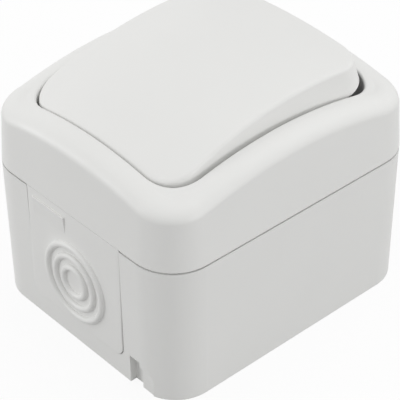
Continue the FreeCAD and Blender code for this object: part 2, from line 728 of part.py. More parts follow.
# The cable entry plates
def make_entry_plate(label, turn):
    """Outer flange, web and inner flange that slide over the wall's slot, with the cable's
    rings and a thumb grip."""
    body = new_body(label)
    face = half_length + S.entry_proud
    inner = half_length - S.wall - S.seam_gap
    web_half = S.entry_half - S.entry_overlap
    web_round = S.entry_round - S.entry_overlap / 2
    slabs = [
        (face - S.entry_skin, S.entry_skin, S.entry_half, S.entry_bottom, S.entry_round),
        (inner - S.entry_skin, S.entry_skin, S.entry_half, S.entry_bottom, S.entry_round),
        (inner - OVERLAP, face - inner, web_half, S.entry_bottom + S.entry_overlap, web_round),
    ]
    for start, length, half, bottom, radius in (slabs[0], slabs[2], slabs[1]):
        sketch = new_sketch(body, "XZ_Plane", start)
        entry_slot(sketch, half, bottom, radius)
        feature(body, "Pad", sketch, length)
    sketch = new_sketch(body, "XZ_Plane")
    rectangle(sketch, -half_width, half_width, joint, joint + ABOVE)
    feature(body, "Pocket", sketch, S.length + ABOVE, both=True)

    sketch = new_sketch(body, "XZ_Plane", half_length - S.wall)
    rectangle(sketch, -web_half, web_half, joint - PAST, joint + S.tongue_height)
    feature(body, "Pad", sketch, S.wall - S.lip_wall - S.seam_gap)
    add_upper_lip(body, face)
    add_rings(body, face, inner)
    add_grip(body, face)
    body.Placement = Placement(Vector(0, 0, 0), Rotation(Vector(0, 0, 1), turn))
    return body


def add_upper_lip(body, face):
    """A thin lip that fills the shadow gap over the plate."""
    back = half_length - S.shadow_depth + S.seam_gap
    sketch = new_sketch(body, "XZ_Plane", back)
    rectangle(sketch, -S.entry_half, S.entry_half, joint - OVERLAP, joint + S.shadow_height - S.seam_gap)
    feature(body, "Pad", sketch, face - back)


def add_rings(body, face, inner):
    """Round ridges on the plate's face, and a pocket behind them that thins the skin."""
    outer = S.ring_middle + RINGS * S.ring_pitch
    sketch = new_sketch(body, "XZ_Plane", inner - S.entry_skin)
    circle(sketch, 0, ring_z, outer)
    feature(body, "Pocket", sketch, face - inner, back=True)

    half = S.ring_pitch / 2
    bend = (half * half + S.ring_rise * S.ring_rise) / (2 * S.ring_rise)
    buried = S.entry_skin / 2 - face
    corners = [(-face, S.ring_middle + k * S.ring_pitch) for k in range(RINGS + 1)]
    corners += [(buried, outer), (buried, S.ring_middle)]
    sketch = new_sketch(body, "YZ_Plane", 0, ring_z)
    chain(sketch, corners, {k: (bend, LEFT) for k in range(RINGS)})
    turned(body, "Revolution", sketch)


def add_grip(body, face):
    """The thumb grip: a wedge, proud at its upper edge, that fades out downwards."""
    buried, top = S.entry_skin / 2 - face, joint - S.grip_drop
    low = top - S.grip_height
    sketch = new_sketch(body, "YZ_Plane", -S.grip_left)
    chain(sketch, [(buried, low), (-face, low), (-face - S.grip_proud, top), (buried, top)])
    feature(body, "Pad", sketch, S.grip_left - S.grip_right)


# The rocker, built level about its own pivot
def bow_height(x, y):
    """Height of the rocker's bowed top: an arc across X, swung about a line along X."""
    bow_x, bow_y = mm(S.rocker_bow_x), mm(S.rocker_bow_y)
    reach = bow_y - bow_x + math.sqrt(bow_x ** 2 - x ** 2)
    return mm(S.rocker_apex) - bow_y + math.sqrt(reach ** 2 - y ** 2)


def bowed_block(body, inset, below):
    """A block with leaning sides and a bowed top, set in from the rocker's skin by inset."""
    sections = []
    for rise in (-below, S.rocker_apex - S.rocker_bottom + PAST):
        half_x = skirt_x - inset - S.rocker_lean_x * rise
        half_y = skirt_y - inset - S.rocker_lean_y * rise
        sketch = new_sketch(body, "XY_Plane", S.rocker_bottom + rise)
        sections.append(rounded(sketch, -half_x, half_x, -half_y, half_y, S.rocker_radius - inset))
    loft = added(body, "AdditiveLoft", sections[0])
    loft.Sections = [(sections[1], [""])]
    loft.Ruled = True
    settle(body, loft, 0.0)

    bow_x, bow_y = S.rocker_bow_x - inset, S.rocker_bow_y - inset
    sketch = new_sketch(body, "XZ_Plane", 0, S.rocker_apex - S.rocker_bow_y)
    half = skirt_x + PAST
    low = bow_y - bow_x + root(bow_x * bow_x - half * half)
    top = bow_y + ABOVE
    chain(sketch, [(-half, -low), (half, -low), (half, -top), (-half, -top)], {0: (bow_x, RIGHT)})
    turned(body, "Groove", sketch)
    return body


def make_rocker():
    body = bowed_block(new_body("rocker"), measure(0), measure(0))

    def is_top(edge):
        middle = edge.valueAt((edge.FirstParameter + edge.LastParameter) / 2)
        return abs(middle.z - bow_height(middle.x, middle.y)) < 0.01
    dress(body, "Fillet", "Radius", S.rocker_edge, names_of(body.Tip.Shape.Edges, "Edge", is_top))
    core = bowed_block(new_body("rocker_core"), S.rocker_skin, measure(PAST))
    before = volume(body)
    hollow = body.newObject("PartDesign::Boolean", "rocker_hollow")
    hollow.Type = "Cut"
    hollow.addObjects([core])
    settle(body, hollow, before)
    add_rocker_ears(body)
    add_drive_stem(body)
    return stand(body, pivot, S.throw_angle)


def add_rocker_ears(body):
    """An ear at each side, with a pin that points inwards into the cover's post."""
    inner, r = post_outer + S.ear_gap, S.ear_radius
    top = S.rocker_apex - S.ear_root
    pin = S.post_thickness - S.pin_short + S.ear_gap + OVERLAP
    for side in (1, -1):
        sketch = new_sketch(body, "YZ_Plane", side * inner)
        corners = [(-r, top), (-r, 0), (0, -r), (r, 0), (r, top)]
        chain(sketch, corners, {1: (r, RIGHT), 2: (r, RIGHT)})
        feature(body, "Pad", sketch, S.ear_thickness, back=side < 0)
        sketch = new_sketch(body, "YZ_Plane", side * (inner + OVERLAP))
        circle(sketch, 0, 0, S.pin_radius)
        feature(body, "Pad", sketch, pin, back=side > 0)


def add_drive_stem(body):
    """A round stem from the roof, with a blade and a round tip that works the cradle."""
    sketch = new_sketch(body, "XY_Plane", -S.stem_end_drop)
    circle(sketch, 0, 0, S.stem_radius)
    feature(body, "Pad", sketch, S.stem_end_drop + S.rocker_apex - S.stem_root)

    tip, radius, neck = -S.tip_below, S.tip_radius, S.neck_half
    shoulder = tip + root(radius * radius - neck * neck)
    top, thick = OVERLAP - S.stem_end_drop, S.blade_half_y
    corners = [(-thick, top), (-thick, -S.stem_end_drop), (-neck, shoulder), (-radius, tip),
               (0, tip - radius), (radius, tip), (neck, shoulder), (thick, -S.stem_end_drop), (thick, top)]
    sketch = new_sketch(body, "YZ_Plane")
    chain(sketch, corners, {k: (radius, RIGHT) for k in (2, 3, 4, 5)})
    feature(body, "Pad", sketch, 2 * S.blade_half_x, both=True)


def make_rocker_seal():
    """A rubber cone snapped into the deck's hole, with a lip round the stem."""
    body = new_body("rocker_seal")
    flange_top = under_deck
    outer = S.deck_hole - S.seam_gap
    inner = outer - S.seal_skin
    bead_top = deck_top + S.seal_bead
    lip_top = pivot - S.seal_drop
    corners = [
        (inner, flange_top - S.gasket_thickness), (S.seal_radius, flange_top - S.gasket_thickness),
        (S.seal_radius, flange_top), (outer, flange_top), (outer, deck_top),
        (S.deck_hole + S.seal_bead, deck_top), (S.deck_hole + S.seal_bead, bead_top),
        (S.seal_neck + S.seal_skin, lip_top), (S.seal_neck, lip_top),
        (S.seal_neck, lip_top - S.seal_lip), (inner, deck_top - S.seal_bead),
    ]
    chain(new_sketch(body, "XZ_Plane"), corners)
    turned(body, "Revolution", body.Group[-1], "V_Axis")
    return body


# The switch mechanism
def make_housing():
    """The lower half of the mechanism, with wells for the terminals and a contact chamber."""
    body = new_body("mechanism_housing")
    sketch = new_sketch(body, "XY_Plane", insert_bottom)
    rounded(sketch, -insert_x, insert_x, -insert_y, insert_y, S.insert_round)
    feature(body, "Pad", sketch, insert_top - insert_bottom)

    well = S.clamp_size / 2 + S.well_gap
    slot = S.strip_half + S.seam_gap
    near = terminal_y - well
    pockets = [
        (-S.chamber_half_x, S.chamber_half_x, -chamber_y, chamber_y, ledge_top),
        (-S.chamber_half_x, S.chamber_half_x, -ledge_start, ledge_start, chamber_floor),
        (-slot, slot, -near - PAST, near + PAST, ledge_top),
        (-well, well, near, terminal_y + well, end_well_floor),
        (-well, well, -terminal_y - well, -near, end_well_floor),
        (-common_x, 0 * well, -slot, slot, chamber_floor),
        (-common_x - well, well - common_x, -well, well, common_well_floor),
    ]
    for x0, x1, y0, y1, bottom in pockets:
        sketch = new_sketch(body, "XY_Plane", insert_top)
        rectangle(sketch, x0, x1, y0, y1)
        feature(body, "Pocket", sketch, insert_top - bottom)
    add_housing_holes(body)
    return body


def add_housing_holes(body):
    sketch = new_sketch(body, "XY_Plane", insert_top)
    for side in (1, -1):
        circle(sketch, side * insert_screw_x, side * insert_screw_y, pilot)
    feature(body, "Pocket", sketch, insert_top - insert_bottom + PAST)

    over_strip = S.strip_thickness + S.wire_radius
    for side in (1, -1):
        sketch = new_sketch(body, "XZ_Plane", side * insert_y)
        circle(sketch, 0, ledge_top + over_strip, S.wire_radius)
        feature(body, "Pocket", sketch, S.terminal_inset, back=side < 0)
    sketch = new_sketch(body, "YZ_Plane", -insert_x)
    circle(sketch, 0, chamber_floor + over_strip, S.wire_radius)
    feature(body, "Pocket", sketch, S.common_inset, back=True)


def make_mechanism_cover():
    """The lid of the mechanism, with two cheeks that carry the cradle."""
    body = new_body("mechanism_cover")
    sketch = new_sketch(body, "XY_Plane", insert_top)
    rounded(sketch, -insert_x, insert_x, -insert_y, insert_y, S.insert_round)
    feature(body, "Pad", sketch, S.insert_lid)
    inner = S.cradle_half_x + S.cheek_gap
    sketch = new_sketch(body, "XY_Plane", lid_top - OVERLAP)
    for side in (1, -1):
        low, high = (inner, inner + S.cheek_thickness) if side > 0 else (-inner - S.cheek_thickness, -inner)
        rectangle(sketch, low, high, -S.cheek_half_y, S.cheek_half_y)
    feature(body, "Pad", sketch, cradle_pivot + S.cheek_rise - lid_top + OVERLAP)

    sketch = new_sketch(body, "YZ_Plane")
    circle(sketch, 0, cradle_pivot, S.pin_radius + S.running_gap)
    feature(body, "Pocket", sketch, S.insert_width, both=True)
    sketch = new_sketch(body, "XY_Plane", insert_top)
    rectangle(sketch, -S.window_half_x, S.window_half_x, -S.window_half_y, S.window_half_y)
    for side in (1, -1):
        circle(sketch, 0, side * terminal_y, S.access_radius)
        circle(sketch, side * insert_screw_x, side * insert_screw_y, pilot)
    circle(sketch, -common_x, 0, S.access_radius)
    feature(body, "Pocket", sketch, S.insert_lid + PAST, back=True)
    return body


def cradle_turn():
    """The cradle's tilt, from the place of the stem's tip as the rocker tilts."""
    tip, angle = S.tip_below, S.throw_angle
    span = S.pivot_span
    side = tip.number * math.sin(math.radians(angle.number))
    height = span.number - tip.number * math.cos(math.radians(angle.number))
    text = (f"(-1 * atan({tip.text} * sin({angle.text}) / "
            f"({span.text} - {tip.text} * cos({angle.text}))))")
    return Measure(-math.degrees(math.atan2(side, height)), text)


def make_cradle():
    """The tilting cradle: a slot above for the stem's tip, a bore below for the plunger."""
    body = new_body("cradle")
    sketch = new_sketch(body, "YZ_Plane")
    rectangle(sketch, -S.cradle_half_y, S.cradle_half_y, -S.cradle_down, S.cradle_up)
    feature(body, "Pad", sketch, 2 * S.cradle_half_x, both=True)
    sketch = new_sketch(body, "YZ_Plane")
    circle(sketch, 0, 0, S.pin_radius)
    feature(body, "Pad", sketch, 2 * S.trunnion_end, both=True)
    slot = S.tip_radius + S.slot_gap
    sketch = new_sketch(body, "YZ_Plane")
    rectangle(sketch, -slot, slot, S.slot_floor, S.cradle_up + PAST)
    feature(body, "Pocket", sketch, 2 * S.trunnion_end, both=True)
    sketch = new_sketch(body, "XY_Plane", -S.cradle_down)
    circle(sketch, 0, 0, S.plunger_radius + S.running_gap)
    feature(body, "Pocket", sketch, S.cradle_down + S.bore_top, back=True)
    return stand(body, cradle_pivot, cradle_turn())


def make_plunger():
    """The sprung plunger with a round tip, hollow for its spring."""
    body = new_body("plunger")
    r = S.plunger_radius
    cup = r - S.plunger_wall
    floor = -S.plunger_top - S.plunger_cup
    corners = [(0, -S.plunger_drop - r), (r, -S.plunger_drop), (r, -S.plunger_top), (cup, -S.plunger_top),
               (cup, floor), (0, floor)]
    sketch = new_sketch(body, "XZ_Plane")
    chain(sketch, corners, {0: (r, RIGHT)})
    turned(body, "Revolution", sketch, "V_Axis")
    return stand(body, cradle_pivot, cradle_turn())


def make_plunger_spring():
    """A round wire swept along a smooth coil between the plunger's cup and the end of the bore."""
    low = mm(S.spring_wire - S.plunger_top - S.plunger_cup)
    high = mm(S.bore_top - S.spring_wire)
    radius, turns = mm(S.spring_radius), mm(S.spring_turns)
    count = round(COIL_POINTS * turns)
    course = []
    for k in range(count + 1):
        angle = 2 * math.pi * turns * k / count
        height = low + (high - low) * k / count
        course.append(Vector(radius * math.cos(angle), radius * math.sin(angle), height))
    coil = Part.BSplineCurve()
    coil.interpolate(course)
    start = Vector(0, radius, (high - low) / (2 * math.pi * turns))
    section = Part.Wire(Part.makeCircle(mm(S.spring_wire / 2), course[0], start))
    made = doc.addObject("Part::Feature", "plunger_spring")
    made.Shape = Part.Wire(coil.toShape()).makePipeShell([section], True, True)
    made.Label = "plunger_spring"
    return stand(made, cradle_pivot, cradle_turn())


def make_contact_bridge():
    """A bent brass strip that rocks on the common terminal's edge."""
    body = new_body("contact_bridge")
    reach, top = S.bridge_reach, S.bridge_rise
    under, rise = top - S.bridge_thickness, slope(reach, S.bridge_angle)
    sketch = new_sketch(body, "YZ_Plane")
    chain(sketch, [(-reach, under + rise), (0, under), (reach, under + rise),
                   (reach, top + rise), (0, top), (-reach, top + rise)])
    feature(body, "Pad", sketch, 2 * S.bridge_half_x, both=True)
    return stand(body, bridge_pivot, S.contact_angle)


def make_moving_contacts():
    """A rivet under each arm of the bridge."""
    under = S.bridge_rise - S.bridge_thickness + slope(S.contact_reach, S.bridge_angle)
    rivets = []
    for side in (1, -1):
        turn = (Vector(1, 0, 0), 180 + side * mm(S.bridge_angle))
        rivet = rod(turn, (0, side * S.contact_reach, under), S.contact_thickness, S.contact_radius)
        bind(rivet, "Placement.Rotation.Angle", 180 + side * S.bridge_angle)
        rivets.append(rivet)
    return stand(group(rivets, "moving_contacts"), bridge_pivot, S.contact_angle)


def make_common_terminal():
    """A brass strip with the upright edge that the bridge rocks on."""
    top = chamber_floor + S.strip_thickness
    half_clamp = S.clamp_size / 2
    strip = block(-common_x - half_clamp, S.bridge_half_x, -S.strip_half, S.strip_half, chamber_floor, top)
    half, knife = S.bridge_half_x, S.knife_radius
    edge = block(-half, half, -knife, knife, top - OVERLAP, bridge_pivot)
    crest = rod(ALONG_X, (-half, 0, bridge_pivot), 2 * half, knife)
    return fuse([strip, edge, crest], "common_terminal")


def make_fixed_contact(label, side):
    """A brass strip from the ledge of the chamber into an end terminal."""
    near, far = ledge_start + 2 * S.seam_gap, terminal_y + S.clamp_size / 2 - OVERLAP
    low, high = (near, far) if side > 0 else (-far, -near)
    top = ledge_top + S.strip_thickness
    strip = block(-S.strip_half, S.strip_half, low, high, ledge_top, top)
    strip.Label = label
    return strip


def make_fixed_rivets():
    top = ledge_top + S.strip_thickness
    spots = [(0, side * (S.contact_reach + S.fixed_shift), top) for side in (1, -1)]
    return group([rod(UPRIGHT, spot, S.fixed_rise, S.contact_radius) for spot in spots], "fixed_contact_rivets")


def make_clamp(x, y, bottom, along_x):
    """A cage with an open channel for the wire and the strip, bored for its screw."""
    half, wall = S.clamp_size / 2, S.clamp_wall
    top = bottom + S.clamp_height
    cage = block(x - half, x + half, y - half, y + half, bottom, top)
    past_x, past_y = (PAST, -wall) if along_x else (-wall, PAST)
    channel = block(x - half - past_x, x + half + past_x, y - half - past_y, y + half + past_y,
                    bottom + wall, top - wall)
    hole = rod(UPRIGHT, (x, y, top - wall - PAST), wall + 2 * PAST, S.clamp_screw_radius + S.screw_gap)
    return cut(cut(cage, channel), hole)


def make_terminals():
    """Three clamps and their screws."""
    spots = [(measure(0), terminal_y, end_well_floor), (measure(0), -terminal_y, end_well_floor),
             (-common_x, measure(0), common_well_floor)]
    clamps = [make_clamp(x, y, bottom, bottom is common_well_floor) for x, y, bottom in spots]
    screws = []
    for x, y, bottom in spots:
        seat = bottom + S.clamp_height
        screws.append(screw(x, y, seat, S.clamp_screw_head, S.clamp_screw_head_height,
                            S.clamp_screw_radius, seat - S.clamp_screw_length))
    return group(clamps, "terminal_clamps"), group(screws, "terminal_screws")


def make_long_screws(label, x, y, seat, length):
    pair = [screw(side * x, side * y, seat, S.screw_head, S.screw_head_height, S.screw_radius, seat - length)
            for side in (1, -1)]
    return group(pair, label)


def make_earth():
    """The earth terminal: a brass block with a wire hole, and its screw."""
    half, top = S.clamp_size / 2, S.earth_bottom + S.clamp_height
    spot_x, spot_y = earth_spot()
    base = block(spot_x - half, spot_x + half, spot_y - half, spot_y + half, S.earth_bottom, top)
    middle = S.earth_bottom + half
    wire = rod(ALONG_Y, (spot_x, spot_y - half - PAST, middle), S.clamp_size + 2 * PAST, S.wire_radius)
    thread = rod(UPRIGHT, (spot_x, spot_y, middle), S.clamp_height, pilot)
    terminal = cut(base, fuse([wire, thread]), "earth_terminal")
    fixing = screw(spot_x, spot_y, top, S.screw_head, S.screw_head_height, S.screw_radius,
                   top - S.earth_screw_length, "earth_screw")
    return terminal, fixing


def build():
    clamps, clamp_screws = make_terminals()
    earth, earth_screw = make_earth()
    return [
        make_back_box(), make_front_cover(), make_cover_gasket(),
        make_entry_plate("cable_entry_plate", 0), make_entry_plate("cable_entry_plate_upper", 180),
        make_rocker(), make_rocker_seal(),
        make_long_screws("cover_screws", cover_screw_x, cover_screw_y, deck_top, S.cover_screw_length),
        make_housing(), make_mechanism_cover(),
        make_long_screws("mechanism_screws", insert_screw_x, insert_screw_y,
                         lid_top, S.insert_screw_length),
        make_cradle(), make_plunger(), make_plunger_spring(),
        make_contact_bridge(), make_moving_contacts(), make_common_terminal(),
        make_fixed_contact("fixed_contact_a", 1), make_fixed_contact("fixed_contact_b", -1),
        make_fixed_rivets(), clamps, clamp_screws, earth, earth_screw,
    ]


def export(pieces):
    """Check every object and every piece, and only then write the files."""
    doc.recompute()
    for obj in doc.Objects:
        if "Invalid" in obj.State or "Error" in obj.State:
            raise RuntimeError(f"{obj.Name} is in state {obj.State}")
    for piece in pieces:
        if piece.Shape.isNull() or not piece.Shape.isValid():
            raise RuntimeError(f"{piece.Label} has no valid shape")
    os.makedirs("parts", exist_ok=True)
    for piece in pieces:
        piece.Shape.exportStep(f"parts/{piece.Label}.step")


export(build())
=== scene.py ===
# %% [markdown]
# # A surface mounted light switch
# The switch stands on its back, as if taken off the wall: +Z points out of the wall, the long
# sides run along Y, and the end of the rocker at -Y is pressed in. Everything is in metres, in
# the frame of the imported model, so a new piece is worked out straight in its place.

import json
import math

import bpy
import numpy as np
from mathutils import Matrix, Vector


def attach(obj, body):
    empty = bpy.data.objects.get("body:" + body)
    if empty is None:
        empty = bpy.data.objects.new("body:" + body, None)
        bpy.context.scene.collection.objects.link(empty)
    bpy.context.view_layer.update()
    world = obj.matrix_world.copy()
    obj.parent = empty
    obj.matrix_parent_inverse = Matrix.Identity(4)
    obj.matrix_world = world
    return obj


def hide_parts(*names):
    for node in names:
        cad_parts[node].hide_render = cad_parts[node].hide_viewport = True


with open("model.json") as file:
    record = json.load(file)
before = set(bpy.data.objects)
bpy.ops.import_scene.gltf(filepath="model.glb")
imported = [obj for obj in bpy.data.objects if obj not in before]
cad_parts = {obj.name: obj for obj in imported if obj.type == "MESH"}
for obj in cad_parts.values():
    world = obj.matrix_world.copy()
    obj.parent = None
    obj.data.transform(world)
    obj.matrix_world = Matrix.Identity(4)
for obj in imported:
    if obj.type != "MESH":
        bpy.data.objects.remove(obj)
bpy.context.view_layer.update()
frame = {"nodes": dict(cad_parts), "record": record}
MM = 0.001
print("packed nodes:", len(frame["nodes"]))

# %% [markdown]
# ## The camera
# The photograph looks down on the front corner of the switch through a long lens. Its place was
# found by matching the corners of the box and the cover, so these few numbers set the likeness
# of every proportion. A lens shift puts the middle of the picture where it was.

# %% Camera
IMAGE_PIXELS = 400
SENSOR = 36.0
AZIMUTH, ELEVATION, ROLL = (math.radians(angle) for angle in (48.412, 37.278, -0.4755))
CAMERA_DISTANCE = 393.84 * MM
CAMERA_AIM = Vector((0, 0, 20.68 * MM))
FOCAL_PIXELS = 1639.9
OFF_CENTRE_RIGHT, OFF_CENTRE_DOWN = 1.75, 4.28
NEAREST_SEEN = 0.01


def place_camera():
    """The camera's back axis comes from azimuth and elevation, and its right axis is level,
    then both right and up are turned by the roll."""
    back = Vector((math.sin(AZIMUTH) * math.cos(ELEVATION),
                   -math.cos(AZIMUTH) * math.cos(ELEVATION), math.sin(ELEVATION)))
    level = Vector((math.cos(AZIMUTH), math.sin(AZIMUTH), 0))
    upright = back.cross(level)
    right = level * math.cos(ROLL) + upright * math.sin(ROLL)
    up = upright * math.cos(ROLL) - level * math.sin(ROLL)
    data = bpy.data.cameras.new("camera")
    data.sensor_width = SENSOR
    data.lens = FOCAL_PIXELS * SENSOR / IMAGE_PIXELS
    data.shift_x = -OFF_CENTRE_RIGHT / IMAGE_PIXELS
    data.shift_y = OFF_CENTRE_DOWN / IMAGE_PIXELS
    data.clip_start = NEAREST_SEEN
    camera = bpy.data.objects.new("camera", data)
    bpy.context.scene.collection.objects.link(camera)
    turn = Matrix((right, up, back)).transposed().to_4x4()
    camera.matrix_world = Matrix.Translation(CAMERA_AIM + back * CAMERA_DISTANCE) @ turn
    return camera


camera = place_camera()
bpy.context.scene.camera = camera
bpy.context.scene.view_settings.view_transform = "Standard"
print("camera:", round(CAMERA_DISTANCE / MM), "mm away, lens", round(camera.data.lens, 1), "mm")

# %% [markdown]
# ## The lamps
# The photograph is lit by a wide soft sky, brighter above and behind, with lamps low at the left
# and the right. The corner that faces the camera stays a little darker. A picture of the sky
# could light it too, but a few square lamps each set the tone of one side, so their watts could
# be worked out from the tones of the photograph's walls.

# %% Lamps
# Each lamp has a name, a spot, the height that it points at, a size, all in metres, and its watts.
LAMPS = [("sky_lamp", (0.05, 0.1, 0.9), 0.03, 0.9, 0.97),
         ("back_lamp", (0.2, 0.5, 0.8), 0.03, 0.9, 1.66),
         ("left_lamp", (-0.65, -0.75, 0.3), 0.03, 0.35, 2.0),
         ("low_left_lamp", (-0.75, -0.7, 0.06), 0.02, 0.3, 1.4),
         ("low_right_lamp", (0.95, 0.1, 0.06), 0.02, 0.3, 2.45)]


def area_lamp(name, spot, aim_height, size, power):
    """A square soft lamp at a spot that points at the switch's middle, at a height of its own."""
    data = bpy.data.lights.new(name, "AREA")
    data.shape = "SQUARE"
    data.size = size
    data.energy = power
    lamp = bpy.data.objects.new(name, data)
    bpy.context.scene.collection.objects.link(lamp)
    lamp.location = spot
    towards = Vector((0, 0, aim_height)) - Vector(spot)
    lamp.rotation_euler = towards.to_track_quat("-Z", "Y").to_euler()


for lamp in LAMPS:
    area_lamp(*lamp)
print("lamps:", len(LAMPS), "with", round(sum(lamp[-1] for lamp in LAMPS), 2), "watts")

# %% [markdown]
# ## The white ground and sky
# The ground and the sky of the photograph are plain white, yet a ground that bright would throw
# too much light back at the walls. So both tell the rays apart: the camera and the gloss see
# white, and the light that bounces meets a darker ground. A trace of the lit ground is kept in
# what the camera sees, which leaves a faint shadow under the switch.

# %% Ground and sky
WHITE = (1.0, 1.0, 1.0, 1.0)
FILL = 0.68
FLOOR_SEEN, FLOOR_BOUNCE, FLOOR_WHITE, FLOOR_ROUGHNESS = 0.95, 0.35, 0.88, 0.9
FLOOR_HALF, FLOOR_HEIGHT = 3.0, -0.05 * MM


def white_to_camera(tree, lit, shown_strength):
    """Mix what the surface shows by its light with plain white, for camera and mirror rays:
    lit is the shader for all other rays, and shown_strength is the share of white."""
    nodes, links = tree.nodes, tree.links
    path = nodes.new("ShaderNodeLightPath")
    seen = nodes.new("ShaderNodeMath")
    seen.operation = "MAXIMUM"
    links.new(path.outputs["Is Camera Ray"], seen.inputs[0])
    links.new(path.outputs["Is Glossy Ray"], seen.inputs[1])
    share = nodes.new("ShaderNodeMath")
    share.operation = "MULTIPLY"
    share.inputs[1].default_value = shown_strength
    links.new(seen.outputs[0], share.inputs[0])
    white = nodes.new("ShaderNodeEmission")
    white.inputs["Color"].default_value = WHITE
    mix = nodes.new("ShaderNodeMixShader")
    links.new(share.outputs[0], mix.inputs[0])
    links.new(lit.outputs[0], mix.inputs[1])
    links.new(white.outputs[0], mix.inputs[2])
    return mix


def light_world(strength):
    """An even white sky, which the camera and mirrors see as plain white."""
    world = bpy.data.worlds.new("studio")
    bpy.context.scene.world = world
    world.use_nodes = True
    tree = world.node_tree
    tree.nodes.clear()
    fill = tree.nodes.new("ShaderNodeBackground")
    fill.inputs["Color"].default_value = WHITE
    fill.inputs["Strength"].default_value = strength
    output = tree.nodes.new("ShaderNodeOutputWorld")
    tree.links.new(white_to_camera(tree, fill, 1.0).outputs[0], output.inputs[0])


def lay_floor():
    """A large square just under the switch, almost white, that still takes a soft shadow."""
    half, height = FLOOR_HALF, FLOOR_HEIGHT
    mesh = bpy.data.meshes.new("floor")
    corners = [(-half, -half, height), (half, -half, height), (half, half, height), (-half, half, height)]
    mesh.from_pydata(corners, [], [(0, 1, 2, 3)])
    floor = bpy.data.objects.new("floor", mesh)
    bpy.context.scene.collection.objects.link(floor)
    material = bpy.data.materials.new("pale_floor")
    material.use_nodes = True
    tree = material.node_tree
    shader = tree.nodes["Principled BSDF"]
    shader.inputs["Roughness"].default_value = FLOOR_ROUGHNESS
    path = tree.nodes.new("ShaderNodeLightPath")
    tone = tree.nodes.new("ShaderNodeMapRange")
    tone.inputs["To Min"].default_value = FLOOR_BOUNCE
    tone.inputs["To Max"].default_value = FLOOR_SEEN
    tree.links.new(path.outputs["Is Camera Ray"], tone.inputs["Value"])
    tree.links.new(tone.outputs["Result"], shader.inputs["Base Color"])
    output = tree.nodes["Material Output"]
    tree.links.new(white_to_camera(tree, shader, FLOOR_WHITE).outputs[0], output.inputs[0])
    mesh.materials.append(material)


light_world(FILL)
lay_floor()
print("sky strength:", FILL, "and ground across:", 2 * FLOOR_HALF, "m")

# %% [markdown]
# ## Finishes
# A moulded plastic is never one flat colour: the mould's fine eroded texture breaks up its
# gloss, and its thickness varies it a little. A fine noise gives the texture as a bump, and a
# broad one varies the roughness and the colour by a percent or two. Metals get the same nodes
# with the noise stretched along the part, as rolling and plating leave them.

# %% Noise, shades and bump
BROAD_SCALE, BROAD_DETAIL, FINE_DETAIL = 60.0, 3.0, 2.0
NOISE_LOW, NOISE_HIGH = 0.3, 0.7


def noise(tree, scale, detail, stretch=(1, 1, 1)):
    """A noise texture on the piece's own coordinates, with the pattern stretched by axis."""
    coordinates = tree.nodes.new("ShaderNodeTexCoord")
    mapping = tree.nodes.new("ShaderNodeMapping")
    mapping.inputs["Scale"].default_value = stretch
    tree.links.new(coordinates.outputs["Object"], mapping.inputs["Vector"])
    texture = tree.nodes.new("ShaderNodeTexNoise")
    texture.inputs["Scale"].default_value = scale
    texture.inputs["Detail"].default_value = detail
    tree.links.new(mapping.outputs["Vector"], texture.inputs["Vector"])
    return texture


def spread(tree, texture, low, high):
    """The texture's values, from the middle of their range, spread between two numbers."""
    steps = tree.nodes.new("ShaderNodeMapRange")
    steps.inputs["From Min"].default_value = NOISE_LOW
    steps.inputs["From Max"].default_value = NOISE_HIGH
    steps.inputs["To Min"].default_value = low
    steps.inputs["To Max"].default_value = high
    tree.links.new(texture.outputs["Fac"], steps.inputs["Value"])
    return steps


def shade_mix(tree, texture, colour, depth):
    """Two shades of one colour, mixed by the texture; depth is how much darker the second is."""
    mix = tree.nodes.new("ShaderNodeMix")
    mix.data_type = "RGBA"
    tree.links.new(texture.outputs["Fac"], mix.inputs["Factor"])
    mix.inputs["A"].default_value = (*colour, 1)
    mix.inputs["B"].default_value = (*(channel * (1 - depth) for channel in colour), 1)
    return mix


def finish(name, colour, roughness, metallic=0.0, grain=0.2, grain_depth=0.004, depth=0.03,
           stretch=(1, 1, 1)):
    """One surface finish. grain is the size of its fine texture and grain_depth its height, in
    millimetres; roughness is a pair of limits."""
    material = bpy.data.materials.new(name)
    material.use_nodes = True
    tree = material.node_tree
    shader = tree.nodes["Principled BSDF"]
    shader.inputs["Metallic"].default_value = metallic
    broad = noise(tree, BROAD_SCALE, BROAD_DETAIL, stretch)
    fine = noise(tree, 1 / (grain * MM), FINE_DETAIL, stretch)
    tree.links.new(shade_mix(tree, broad, colour, depth).outputs["Result"], shader.inputs["Base Color"])
    tree.links.new(spread(tree, broad, *roughness).outputs["Result"], shader.inputs["Roughness"])
    bump = tree.nodes.new("ShaderNodeBump")
    bump.inputs["Distance"].default_value = grain_depth * MM
    tree.links.new(fine.outputs["Fac"], bump.inputs["Height"])
    tree.links.new(bump.outputs["Normal"], shader.inputs["Normal"])
    return material


print("broad pattern:", round(1 / (BROAD_SCALE * MM), 1), "mm across")

# %% [markdown]
# The housing's white plastic lies between matt and silky, as an eroded mould leaves it. What is
# inside has the colours usual for such parts: two greys that tell the mechanism from the housing,
# bright zinc on the steel, and brass with silver where the current breaks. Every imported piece
# gets the finish that its record names.

